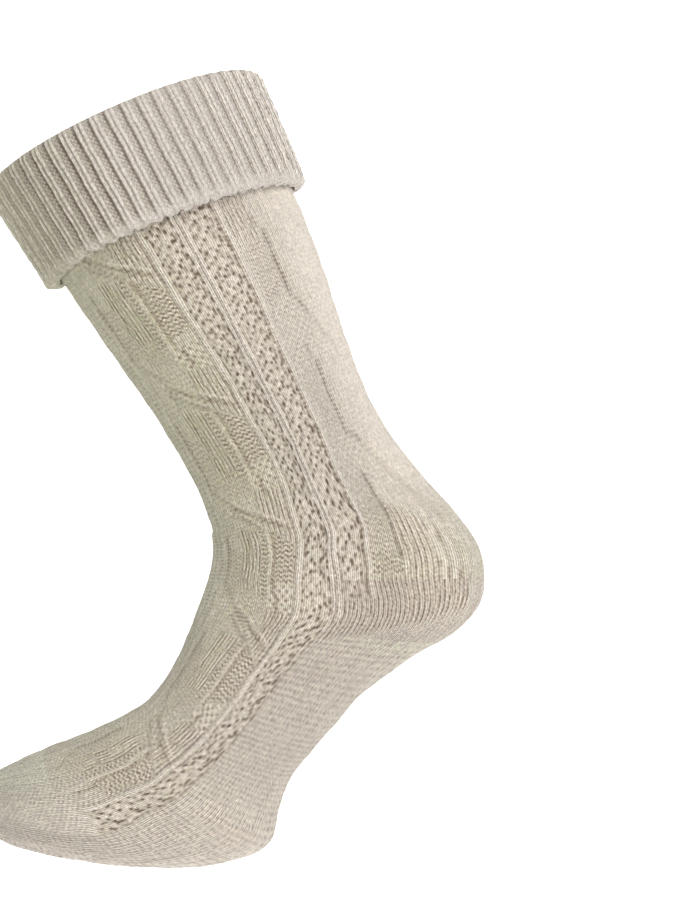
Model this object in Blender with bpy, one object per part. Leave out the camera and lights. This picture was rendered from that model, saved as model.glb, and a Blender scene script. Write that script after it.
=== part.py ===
"""A knitted folk costume sock with a turned-down ribbed cuff, as it keeps its form on a raised foot.

The sock is symmetric about the XZ plane. Its toe points along -X and the opening leans the same way.
The origin is the centre of the opening. Every piece is a knitted wall bent over one surface, whose
sections run from the opening down the leg, fan round the heel and go on along the foot to the toe.
"""

import math
from collections import namedtuple

import bmesh
import bpy
import numpy as np
from mathutils import Vector

# Leg: lengths from the bend in front of the ankle, along the leg and across it
LEG_LENGTH = 0.1860
LEG_LEAN = math.radians(27.0)
CALF_DEPTH = 0.1245
CALF_WIDTH = 0.1000

# Foot: lengths from the same bend, along the top of the foot and across it
FOOT_LENGTH = 0.1650
FOOT_FALL = math.radians(46.0)
FOOT_DEPTH = 0.1250
FOOT_WIDTH = 0.0960

# Knitted walls
WALL = 0.0026
JOIN_GAP = 0.0003
SIDE_RIB_RISE = 0.0007
PURL_SINK = 0.0005

# Turned-down cuff
CUFF_DROP = 0.0535
CUFF_TUCK = 0.0270
EDGE_ARCH = 0.0055
CUFF_WALL = 0.0030
CUFF_CLEARANCE = 0.0016
CUFF_FLARE = 0.0014
CUFF_RIBS = 50
RIB_RISE = 0.0013
WELT_RISE = 0.0014
WELT_HEIGHT = 0.0062

# Gathers along the lower edge of the toe
GATHER_RISE = 0.0006
GATHERS = 10

# Wales, the upright columns of stitches, counted from the front line to the back line of the sock
HALF_WALES = 72
SIDE_WALE = 36

# Where each piece starts and ends, as rows of the section table
OPENING_ROW = 0.0
HEEL_ROW = 10.0
GORE_ROW = 12.5
TOE_ROW = 22.5

Section = namedtuple(
    "Section", "limb front_along front_across back_along back_across width side_line front_power back_power"
)
Colour = namedtuple("Colour", "red green blue roughness")
Line = namedtuple("Line", "wale rise")
Step = namedtuple("Step", "down out rib")

# Leg rows are shares of LEG_LENGTH, CALF_DEPTH and CALF_WIDTH; foot rows of FOOT_LENGTH, FOOT_DEPTH
# and FOOT_WIDTH. side_line is how far back the side rib lies, as a share of the section's depth.
SECTIONS = [
    #       limb    front           back            width  side   powers
    Section("leg", 1.040, -0.115, 1.004, 0.893, 1.000, 0.520, 2.00, 2.00),
    Section("leg", 0.880, -0.083, 0.830, 0.870, 0.975, 0.520, 2.00, 2.00),
    Section("leg", 0.727, -0.051, 0.674, 0.848, 0.930, 0.520, 2.00, 2.00),
    Section("leg", 0.535, -0.012, 0.497, 0.821, 0.870, 0.520, 2.00, 2.00),
    Section("leg", 0.343, 0.026, 0.323, 0.781, 0.790, 0.520, 2.00, 2.00),
    Section("leg", 0.163, 0.044, 0.163, 0.753, 0.730, 0.520, 2.02, 2.00),
    Section("leg", 0.050, 0.029, 0.050, 0.761, 0.710, 0.520, 2.05, 2.00),
    Section("leg", 0.018, 0.010, -0.064, 0.792, 0.705, 0.515, 2.05, 2.00),
    Section("foot", 0.012, 0.015, -0.533, 0.519, 0.734, 0.500, 2.10, 2.00),
    Section("foot", 0.045, 0.048, -0.508, 0.694, 0.729, 0.455, 2.10, 2.02),
    Section("foot", 0.077, 0.073, -0.458, 0.788, 0.724, 0.447, 2.10, 2.05),
    Section("foot", 0.108, 0.093, -0.387, 0.848, 0.714, 0.469, 2.10, 2.10),
    Section("foot", 0.146, 0.115, -0.293, 0.851, 0.714, 0.506, 2.10, 2.15),
    Section("foot", 0.191, 0.142, -0.173, 0.807, 0.729, 0.530, 2.10, 2.25),
    Section("foot", 0.252, 0.174, -0.004, 0.765, 0.760, 0.560, 2.10, 2.35),
    Section("foot", 0.326, 0.204, 0.119, 0.770, 0.792, 0.563, 2.10, 2.45),
    Section("foot", 0.416, 0.222, 0.229, 0.777, 0.844, 0.563, 2.15, 2.55),
    Section("foot", 0.494, 0.205, 0.315, 0.791, 0.896, 0.571, 2.20, 2.65),
    Section("foot", 0.551, 0.177, 0.391, 0.835, 0.958, 0.543, 2.25, 2.75),
    Section("foot", 0.597, 0.154, 0.484, 0.895, 0.995, 0.503, 2.30, 2.75),
    Section("foot", 0.636, 0.132, 0.594, 0.829, 1.005, 0.513, 2.30, 2.70),
    Section("foot", 0.670, 0.111, 0.683, 0.729, 0.995, 0.571, 2.30, 2.65),
    Section("foot", 0.705, 0.089, 0.760, 0.624, 0.969, 0.622, 2.30, 2.60),
    Section("foot", 0.746, 0.065, 0.830, 0.509, 0.917, 0.640, 2.25, 2.50),
    Section("foot", 0.793, 0.040, 0.891, 0.396, 0.833, 0.620, 2.20, 2.40),
    Section("foot", 0.846, 0.015, 0.944, 0.287, 0.719, 0.580, 2.15, 2.30),
    Section("foot", 0.901, 0.005, 0.978, 0.189, 0.542, 0.550, 2.10, 2.20),
    Section("foot", 0.946, 0.017, 0.986, 0.114, 0.344, 0.520, 2.00, 2.00),
    Section("foot", 0.985, 0.047, 0.985, 0.047, 0.000, 0.500, 2.00, 2.00),
]

# Raised ribs and sunk purl lines that run down the wall, in wales from the front line
KNIT_LINES = [
    Line(12.5, -PURL_SINK),
    Line(30.0, SIDE_RIB_RISE),
    Line(37.0, SIDE_RIB_RISE),
    Line(44.5, -PURL_SINK),
    Line(53.5, -PURL_SINK),
    Line(62.5, -PURL_SINK),
]

# Wales where the walls have their columns of faces, shared by all pieces so that their joins match
FRONT_COLUMNS = [0.0, 6.0, 11.0, 12.5, 14.0, 18.5, 23.0, 28.0, 30.0, 32.0, 36.0]
BACK_COLUMNS = [36.0, 37.0, 38.5, 41.5, 44.5, 46.5, 50.0, 53.5, 56.0, 59.5, 62.5, 65.0, 68.5, 72.0]

OATMEAL = Colour(0.62, 0.57, 0.47, 0.92)
WARM_CREAM = Colour(0.70, 0.63, 0.55, 0.92)
PALE_GREY_BEIGE = Colour(0.66, 0.61, 0.55, 0.94)

# Steps round the fold of the cuff, in degrees
FOLD_TURNS = (0, 60, 120, 180)

# Welt of the cuff: down from its start as a share of WELT_HEIGHT, out as a share of WELT_RISE, and
# how much of the ribs' rise is left
WELT_STEPS = [
    Step(0.00, 0.00, 1.00),
    Step(0.45, 1.00, 0.30),
    Step(1.00, 0.40, 0.00),
]

# Fullness of the arch of the cuff's edges, and the table rows over which the raised ribs fade out
ARCH_POWER = 0.7
FADE_ROWS = 1.5

OUTLINE_STEPS = 240
NUDGE = 0.01
WALE_NUDGE = 0.4


def leg_point(along, across):
    """A point of the XZ plane given along and across the leg, from the ankle bend."""
    return Vector((
        across * math.cos(LEG_LEAN) - along * math.sin(LEG_LEAN),
        0.0,
        across * math.sin(LEG_LEAN) + along * math.cos(LEG_LEAN),
    ))


def foot_point(along, across):
    """A point of the XZ plane given along and across the foot, from the ankle bend."""
    return Vector((
        across * math.sin(FOOT_FALL) - along * math.cos(FOOT_FALL),
        0.0,
        -across * math.cos(FOOT_FALL) - along * math.sin(FOOT_FALL),
    ))


def section_values(section):
    """One table row in metres: front x and z, back x and z, half width, side line and powers."""
    if section.limb == "leg":
        place, length, depth, width = leg_point, LEG_LENGTH, CALF_DEPTH, CALF_WIDTH
    else:
        place, length, depth, width = foot_point, FOOT_LENGTH, FOOT_DEPTH, FOOT_WIDTH
    front = place(section.front_along * length, section.front_across * depth) - OPENING_CENTRE
    back = place(section.back_along * length, section.back_across * depth) - OPENING_CENTRE
    half_width = section.width * width / 2
    return [front.x, front.z, back.x, back.z, half_width, section.side_line,
            section.front_power, section.back_power]


OPENING_CENTRE = leg_point(
    LEG_LENGTH * (SECTIONS[0].front_along + SECTIONS[0].back_along) / 2,
    CALF_DEPTH * (SECTIONS[0].front_across + SECTIONS[0].back_across) / 2,
)
SECTION_VALUES = np.array([section_values(section) for section in SECTIONS])
LAST_ROW = len(SECTIONS) - 1.0


def section_at(row):
    """Section values at a fractional table row, on a smooth curve through the rows."""
    row = min(max(row, 0.0), LAST_ROW)
    start = min(int(row), len(SECTIONS) - 2)
    share = row - start
    before = SECTION_VALUES[max(start - 1, 0)]
    here = SECTION_VALUES[start]
    following = SECTION_VALUES[start + 1]
    after = SECTION_VALUES[min(start + 2, len(SECTIONS) - 1)]
    leave = (following - before) / 2
    arrive = (after - here) / 2
    return (
        here * (2 * share**3 - 3 * share**2 + 1)
        + leave * (share**3 - 2 * share**2 + share)
        + following * (3 * share**2 - 2 * share**3)
        + arrive * (share**3 - share**2)
    )


def from_front(wales):
    """Wales counted from the front line, for wales that may run round the back line."""
    return HALF_WALES - np.abs(HALF_WALES - np.abs(wales))


def ring(row, wales):
    """Points of the knitted surface at one table row. Wales from 0 to 72 run down the -Y side."""
    front_x, front_z, back_x, back_z, half_width, side_line, front_power, back_power = section_at(row)
    turn = np.linspace(0.0, math.pi, OUTLINE_STEPS)
    power = np.where(turn < math.pi / 2, front_power, back_power)
    depth_share = (1 - np.sign(np.cos(turn)) * np.abs(np.cos(turn)) ** (2 / power)) / 2
    side = max(half_width, 1e-9) * np.abs(np.sin(turn)) ** (2 / power)
    depth = math.hypot(back_x - front_x, back_z - front_z)
    steps = np.hypot(np.diff(depth_share) * depth, np.diff(side))
    length = np.concatenate([[0.0], np.cumsum(steps)])
    side_length = np.interp(side_line, depth_share, length)
    count = from_front(wales)
    near_side = np.where((wales + HALF_WALES) % (2 * HALF_WALES) > HALF_WALES, 1.0, -1.0)
    reach = np.where(
        count <= SIDE_WALE,
        side_length * count / SIDE_WALE,
        side_length + (length[-1] - side_length) * (count - SIDE_WALE) / (HALF_WALES - SIDE_WALE),
    )
    share = np.interp(reach, length, depth_share)
    out = np.interp(reach, length, side)
    return np.stack([
        front_x + (back_x - front_x) * share,
        -near_side * out,
        front_z + (back_z - front_z) * share,
    ], axis=-1)


def surface(row, wales, lift):
    """Points standing lift metres off the knitted surface along its outward normal."""
    inner_row = min(row, LAST_ROW - 2 * NUDGE)
    along = ring(inner_row + NUDGE, wales) - ring(inner_row - NUDGE, wales)
    around = ring(inner_row, wales + WALE_NUDGE) - ring(inner_row, wales - WALE_NUDGE)
    normal = np.cross(along, around)
    if row > inner_row:
        normal[:] = normal.mean(axis=0)
    normal /= np.linalg.norm(normal, axis=-1, keepdims=True)
    return ring(row, wales) + normal * np.reshape(lift, (-1, 1))


def row_speed(row, wales):
    """Metres travelled along the surface for each table row, at each wale."""
    step = surface(row + NUDGE, wales, 0.0) - surface(row - NUDGE, wales, 0.0)
    return np.linalg.norm(step, axis=-1) / (2 * NUDGE)


def wale_pitch(row, wale):
    """Metres between neighbouring wales at one place of the surface."""
    pair = ring(row, np.array([wale - 0.5, wale + 0.5]))
    return float(np.linalg.norm(pair[1] - pair[0]))


def leg_row(drop):
    """The table row that lies drop metres below the opening."""
    return float(np.interp(drop, LEG_DROPS, LEG_DROP_ROWS))


def edge_dip(wales):
    """How far the cuff's edges lie below the opening: nothing at the sides, most at front and back."""
    arch = np.sin(math.pi * from_front(wales) / HALF_WALES)
    return EDGE_ARCH * (1 - np.maximum(arch, 0.0) ** ARCH_POWER)


def line_rise(wales):
    """Height of the raised and sunk lines at each wale."""
    count = from_front(wales)
    rise = np.zeros_like(count)
    for line in KNIT_LINES:
        rise = np.where(np.abs(count - line.wale) < 0.1, line.rise, rise)
    return rise


def knit_material(name, colour):
    """A rough knitted finish in one colour."""
    material = bpy.data.materials.new(name)
    material.use_nodes = True
    shader = material.node_tree.nodes["Principled BSDF"]
    shader.inputs["Base Color"].default_value = (colour.red, colour.green, colour.blue, 1.0)
    shader.inputs["Roughness"].default_value = colour.roughness
    shader.inputs["Metallic"].default_value = 0.0
    return material


def knitted_wall(name, colour, rows, columns, place, closed):
    """One closed wall: a grid laid on its hidden side and extruded to its shown side.

    place(row, columns, shown) gives the points of one grid row on either side of the wall.
    """
    bm = bmesh.new()
    bmesh.ops.create_grid(bm, x_segments=columns - 1, y_segments=rows - 1, size=0.5)
    column_of = bm.verts.layers.int.new("column")
    row_of = bm.verts.layers.int.new("row")
    hidden = [place(row, False) for row in range(rows)]
    shown = [place(row, True) for row in range(rows)]
    for vert in bm.verts:
        vert[column_of] = round((vert.co.x + 0.5) * (columns - 1))
        vert[row_of] = round((vert.co.y + 0.5) * (rows - 1))
        vert.co = Vector(hidden[vert[row_of]][vert[column_of]])
    if closed:
        bmesh.ops.remove_doubles(bm, verts=bm.verts, dist=1e-6)
    extruded = bmesh.ops.extrude_face_region(bm, geom=bm.faces[:], use_keep_orig=True)
    for vert in extruded["geom"]:
        if isinstance(vert, bmesh.types.BMVert):
            vert.co = Vector(shown[vert[row_of]][vert[column_of]])
    bmesh.ops.recalc_face_normals(bm, faces=bm.faces)
    mesh = bpy.data.meshes.new(name)
    bm.to_mesh(mesh)
    bm.free()
    mesh.shade_smooth()
    mesh.set_sharp_from_angle(angle=math.radians(40))
    mesh.materials.append(knit_material(name, colour))
    piece = bpy.data.objects.new(name, mesh)
    bpy.context.collection.objects.link(piece)
    return piece


def panel(name, colour, rows, wales, relief, trims):
    """A wall over a list of table rows and a list of wales, trimmed for the joins at its edges.

    trims names the edges that meet another piece: start, end and sides.
    """
    wales = np.array(wales, dtype=float)

    def place(index, shown):
        row = rows[index]
        row_wales = wales.copy()
        if "sides" in trims:
            trim = JOIN_GAP / 2 / wale_pitch(min(row, LAST_ROW - 1), wales[-1])
            row_wales[0] += trim
            row_wales[-1] -= trim
        shift = np.zeros_like(row_wales)
        if index == 0 and "start" in trims:
            shift = JOIN_GAP / 2 / row_speed(row, row_wales)
        if index == len(rows) - 1 and "end" in trims:
            shift = -JOIN_GAP / 2 / row_speed(row, row_wales)
        lift = relief(row, row_wales) if shown else np.full_like(row_wales, -WALL)
        if not shift.any():
            return surface(row, row_wales, lift)
        return np.array([
            surface(row + shift[i], row_wales[i:i + 1], lift[i:i + 1])[0] for i in range(len(row_wales))
        ])

    closed = wales[-1] - wales[0] > 2 * HALF_WALES - 0.5
    return knitted_wall(name, colour, len(rows), len(wales), place, closed)


def pattern_relief(row, wales):
    """Side ribs stand up and the purl lines sink in. They fade out over the last rows before the toe."""
    fade = min(1.0, max(0.0, (TOE_ROW - row) / FADE_ROWS))
    return line_rise(wales) * fade


def plain_relief(row, wales):
    """The heel pocket and the sole have no raised bands."""
    return np.zeros_like(wales)


def toe_relief(row, wales):
    """Short gathers along the lower edge of the toe, fading towards its tip and its start."""
    share = (row - TOE_ROW) / (LAST_ROW - TOE_ROW)
    fade = math.sin(math.pi * min(max(share, 0.0), 1.0))
    under = np.clip(2 * (from_front(wales) - SIDE_WALE) / (HALF_WALES - SIDE_WALE), 0.0, 1.0)
    return GATHER_RISE * fade * under * np.cos(wales * math.pi * GATHERS / SIDE_WALE)


def make_cuff():
    """The turned-down cuff: inner layer, fold over the opening, ribbed outer layer and welt."""
    outer_lift = CUFF_CLEARANCE + CUFF_WALL
    fold_radius = (outer_lift + WALL) / 2
    fold_centre = (outer_lift - WALL) / 2
    inner_radius = CUFF_CLEARANCE / 2
    inner_centre = CUFF_CLEARANCE / 2
    columns = 3 * CUFF_RIBS
    wales = np.linspace(-HALF_WALES, HALF_WALES, columns + 1)
    rib = np.where(np.arange(columns + 1) % 3 == 0, RIB_RISE, 0.0)

    path = [(CUFF_TUCK, -WALL, CUFF_TUCK, 0.0, 0.0)]
    for degrees in FOLD_TURNS:
        turn = math.radians(degrees)
        path.append((
            fold_radius * (1 - math.sin(turn)),
            fold_centre - fold_radius * math.cos(turn),
            fold_radius - inner_radius * math.sin(turn),
            inner_centre - inner_radius * math.cos(turn),
            max(0.0, -math.cos(turn)),
        ))
    plain_end = CUFF_DROP - WELT_HEIGHT
    for step in WELT_STEPS:
        drop = plain_end + WELT_HEIGHT * step.down
        lift = outer_lift + CUFF_FLARE + WELT_RISE * step.out
        path.append((drop, lift, drop, CUFF_CLEARANCE + CUFF_FLARE, step.rib))

    def place(index, shown):
        shown_drop, shown_lift, hidden_drop, hidden_lift, rib_share = path[index]
        drop, lift = (shown_drop, shown_lift) if shown else (hidden_drop, hidden_lift)
        height = lift + (rib * rib_share if shown else 0.0) + np.zeros(columns + 1)
        drops = drop + (edge_dip(wales) if index > 0 else np.zeros(columns + 1))
        return np.array([
            surface(leg_row(drops[i]), wales[i:i + 1], height[i:i + 1])[0] for i in range(columns + 1)
        ])

    return knitted_wall("cuff", OATMEAL, len(path), columns + 1, place, True)


def mirrored(half):
    """Wales of both sides from a list for one side that starts at the front line."""
    return [-wale for wale in reversed(half[1:])] + list(half)


def back_wales(half):
    """Wales that run from one side line round the back of the sock to the other."""
    return list(half) + [2 * HALF_WALES - wale for wale in reversed(half[:-1])]


for old in list(bpy.data.objects):
    bpy.data.objects.remove(old)

LEG_DROP_ROWS = np.linspace(OPENING_ROW, HEEL_ROW - 2, OUTLINE_STEPS)
SIDE_LINE = np.array([ring(row, np.array([float(SIDE_WALE)]))[0] for row in LEG_DROP_ROWS])
LEG_DROPS = np.concatenate([[0.0], np.cumsum(np.linalg.norm(np.diff(SIDE_LINE, axis=0), axis=1))])

WHOLE_ROUND = mirrored(FRONT_COLUMNS + BACK_COLUMNS[1:])
LEG_ROWS = list(np.linspace(leg_row(CUFF_TUCK), HEEL_ROW, 14))
HEEL_ROWS = list(np.linspace(HEEL_ROW, GORE_ROW, 5))
SOLE_ROWS = list(np.linspace(GORE_ROW, TOE_ROW, 11))
TOE_ROWS = list(np.linspace(TOE_ROW, LAST_ROW, 9))

make_cuff()
panel("leg", OATMEAL, LEG_ROWS, WHOLE_ROUND, pattern_relief, ("start", "end"))
panel("instep", OATMEAL, HEEL_ROWS + SOLE_ROWS[1:], mirrored(FRONT_COLUMNS), pattern_relief,
      ("start", "end", "sides"))
panel("heel", WARM_CREAM, HEEL_ROWS, back_wales(BACK_COLUMNS), plain_relief, ("start", "end", "sides"))
panel("sole", PALE_GREY_BEIGE, SOLE_ROWS, back_wales(BACK_COLUMNS), plain_relief, ("start", "end", "sides"))
panel("toe", PALE_GREY_BEIGE, TOE_ROWS, WHOLE_ROUND, toe_relief, ("start",))
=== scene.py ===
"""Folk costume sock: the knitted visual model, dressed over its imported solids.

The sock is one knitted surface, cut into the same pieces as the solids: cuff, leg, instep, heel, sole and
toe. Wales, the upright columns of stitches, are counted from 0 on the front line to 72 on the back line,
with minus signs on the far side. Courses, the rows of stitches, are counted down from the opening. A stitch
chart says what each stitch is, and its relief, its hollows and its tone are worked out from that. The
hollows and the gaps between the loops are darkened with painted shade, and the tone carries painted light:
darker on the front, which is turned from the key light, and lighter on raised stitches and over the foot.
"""

import logging
import math
from dataclasses import astuple, dataclass, field
from enum import Enum

import bmesh
import bpy
import numpy as np
from mathutils import Matrix, Vector


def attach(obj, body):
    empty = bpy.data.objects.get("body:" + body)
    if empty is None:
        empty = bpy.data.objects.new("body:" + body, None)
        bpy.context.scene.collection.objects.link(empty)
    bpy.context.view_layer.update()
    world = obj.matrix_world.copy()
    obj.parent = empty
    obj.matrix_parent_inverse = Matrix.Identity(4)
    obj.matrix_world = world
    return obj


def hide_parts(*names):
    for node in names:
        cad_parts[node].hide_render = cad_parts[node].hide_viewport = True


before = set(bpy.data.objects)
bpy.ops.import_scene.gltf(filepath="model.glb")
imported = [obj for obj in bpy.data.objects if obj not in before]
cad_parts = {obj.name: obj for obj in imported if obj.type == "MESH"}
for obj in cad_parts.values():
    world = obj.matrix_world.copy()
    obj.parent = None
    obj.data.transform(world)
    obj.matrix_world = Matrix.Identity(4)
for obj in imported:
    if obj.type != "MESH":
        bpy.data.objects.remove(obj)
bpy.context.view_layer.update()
LOG = logging.getLogger("sock")

BODY = "root"
STITCH_MAP = "stitches"
FABRIC_MAP = "fabric"
TURN = 2 * math.pi
NEAR = 1e-6

# Pieces of the section table: where each one starts and ends
HEEL_ROW = 10.0
GORE_ROW = 12.5
TOE_ROW = 22.5

# Wales and courses
HALF_WALES = 72
SIDE_WALE = 36
COURSE_WALE = 26.0
COURSE_PITCH = 0.00157
STEPS = 3
JOINT_COURSE = 80.0

# Grid columns over each stretch of wales from the front line: closest over the lace
COLUMNS = (
    (0.0, 10.0, 15),
    (10.0, 29.0, 57),
    (29.0, 36.0, 36),
    (36.0, 45.0, 45),
    (45.0, 58.0, 39),
    (58.0, 72.0, 21),
)


@dataclass(frozen=True)
class Section:
    """One section of the sock, as shares of the limb's length, depth and width."""

    limb: str
    front_along: float
    front_across: float
    back_along: float
    back_across: float
    width: float
    side_line: float
    front_power: float
    back_power: float


SECTIONS = (
    Section("leg", 1.040, -0.115, 1.004, 0.893, 1.000, 0.520, 2.00, 2.00),
    Section("leg", 0.880, -0.083, 0.830, 0.870, 0.975, 0.520, 2.00, 2.00),
    Section("leg", 0.727, -0.051, 0.674, 0.848, 0.930, 0.520, 2.00, 2.00),
    Section("leg", 0.535, -0.012, 0.497, 0.821, 0.870, 0.520, 2.00, 2.00),
    Section("leg", 0.343, 0.026, 0.323, 0.781, 0.790, 0.520, 2.00, 2.00),
    Section("leg", 0.163, 0.044, 0.163, 0.753, 0.730, 0.520, 2.02, 2.00),
    Section("leg", 0.050, 0.029, 0.050, 0.761, 0.710, 0.520, 2.05, 2.00),
    Section("leg", 0.018, 0.010, -0.064, 0.792, 0.705, 0.515, 2.05, 2.00),
    Section("foot", 0.012, 0.015, -0.533, 0.519, 0.734, 0.500, 2.10, 2.00),
    Section("foot", 0.045, 0.048, -0.508, 0.694, 0.729, 0.455, 2.10, 2.02),
    Section("foot", 0.077, 0.073, -0.458, 0.788, 0.724, 0.447, 2.10, 2.05),
    Section("foot", 0.108, 0.093, -0.387, 0.848, 0.714, 0.469, 2.10, 2.10),
    Section("foot", 0.146, 0.115, -0.293, 0.851, 0.714, 0.506, 2.10, 2.15),
    Section("foot", 0.191, 0.142, -0.173, 0.807, 0.729, 0.530, 2.10, 2.25),
    Section("foot", 0.252, 0.174, -0.004, 0.765, 0.760, 0.560, 2.10, 2.35),
    Section("foot", 0.326, 0.204, 0.119, 0.770, 0.792, 0.563, 2.10, 2.45),
    Section("foot", 0.416, 0.222, 0.229, 0.777, 0.844, 0.563, 2.15, 2.55),
    Section("foot", 0.494, 0.205, 0.315, 0.791, 0.896, 0.571, 2.20, 2.65),
    Section("foot", 0.551, 0.177, 0.391, 0.835, 0.958, 0.543, 2.25, 2.75),
    Section("foot", 0.597, 0.154, 0.484, 0.895, 0.995, 0.503, 2.30, 2.75),
    Section("foot", 0.636, 0.132, 0.594, 0.829, 1.005, 0.513, 2.30, 2.70),
    Section("foot", 0.670, 0.111, 0.683, 0.729, 0.995, 0.571, 2.30, 2.65),
    Section("foot", 0.705, 0.089, 0.760, 0.624, 0.969, 0.622, 2.30, 2.60),
    Section("foot", 0.746, 0.065, 0.830, 0.509, 0.917, 0.640, 2.25, 2.50),
    Section("foot", 0.793, 0.040, 0.891, 0.396, 0.833, 0.620, 2.20, 2.40),
    Section("foot", 0.846, 0.015, 0.944, 0.287, 0.719, 0.580, 2.15, 2.30),
    Section("foot", 0.901, 0.005, 0.978, 0.189, 0.542, 0.550, 2.10, 2.20),
    Section("foot", 0.946, 0.017, 0.986, 0.114, 0.344, 0.520, 2.00, 2.00),
    Section("foot", 0.985, 0.047, 0.985, 0.047, 0.000, 0.500, 2.00, 2.00),
)


def from_front(wales: np.ndarray) -> np.ndarray:
    """Wales counted from the front line, for wales that may run round the back line."""
    return HALF_WALES - np.abs(HALF_WALES - np.abs(wales))


def ease(values: np.ndarray, start: float, end: float) -> np.ndarray:
    """A smooth step from 0 at start to 1 at end.

    Args:
        values: where the step is read.
        start: value at which it leaves 0.
        end: value at which it reaches 1. It may lie below start.

    Returns:
        The step at each value, from 0 to 1.
    """
    share = np.clip((np.asarray(values, dtype=float) - start) / (end - start), 0.0, 1.0)
    return share * share * (3 - 2 * share)


def dotted(share: float, turns: np.ndarray) -> np.ndarray:
    """A row of dots: 1 on each dot, and less between them by twice the share."""
    return 1 - share + share * np.cos(TURN * turns)


@dataclass(frozen=True)
class Ripple:
    """A slow ripple over the knitting: how it turns with each step down and across, and where it starts."""

    down: float
    across: float
    start: float = 0.0

    def at(self, across: np.ndarray, down: np.ndarray) -> np.ndarray:
        """Height of the ripple at each place, from -1 to 1."""
        return np.sin(self.down * down + self.across * across + self.start)


SLOW_SWAY = (Ripple(0.53, 0.9), Ripple(0.21, -0.7, 1.3))
QUICK_SWAY = (Ripple(1.31, -1.7, 0.4), Ripple(0.77, 1.1))
PUCKER = (Ripple(0.35, 0.5), Ripple(0.22, -0.31, 2.0))
HEM = (Ripple(0.0, 3.7, 1.0), Ripple(0.0, 0.4))
HEM_QUICK = Ripple(0.0, 2.1)


def crossed(pair: tuple[Ripple, Ripple], across: np.ndarray, down: np.ndarray) -> np.ndarray:
    """Two ripples multiplied, so that they swell and die away."""
    return pair[0].at(across, down) * pair[1].at(across, down)


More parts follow.
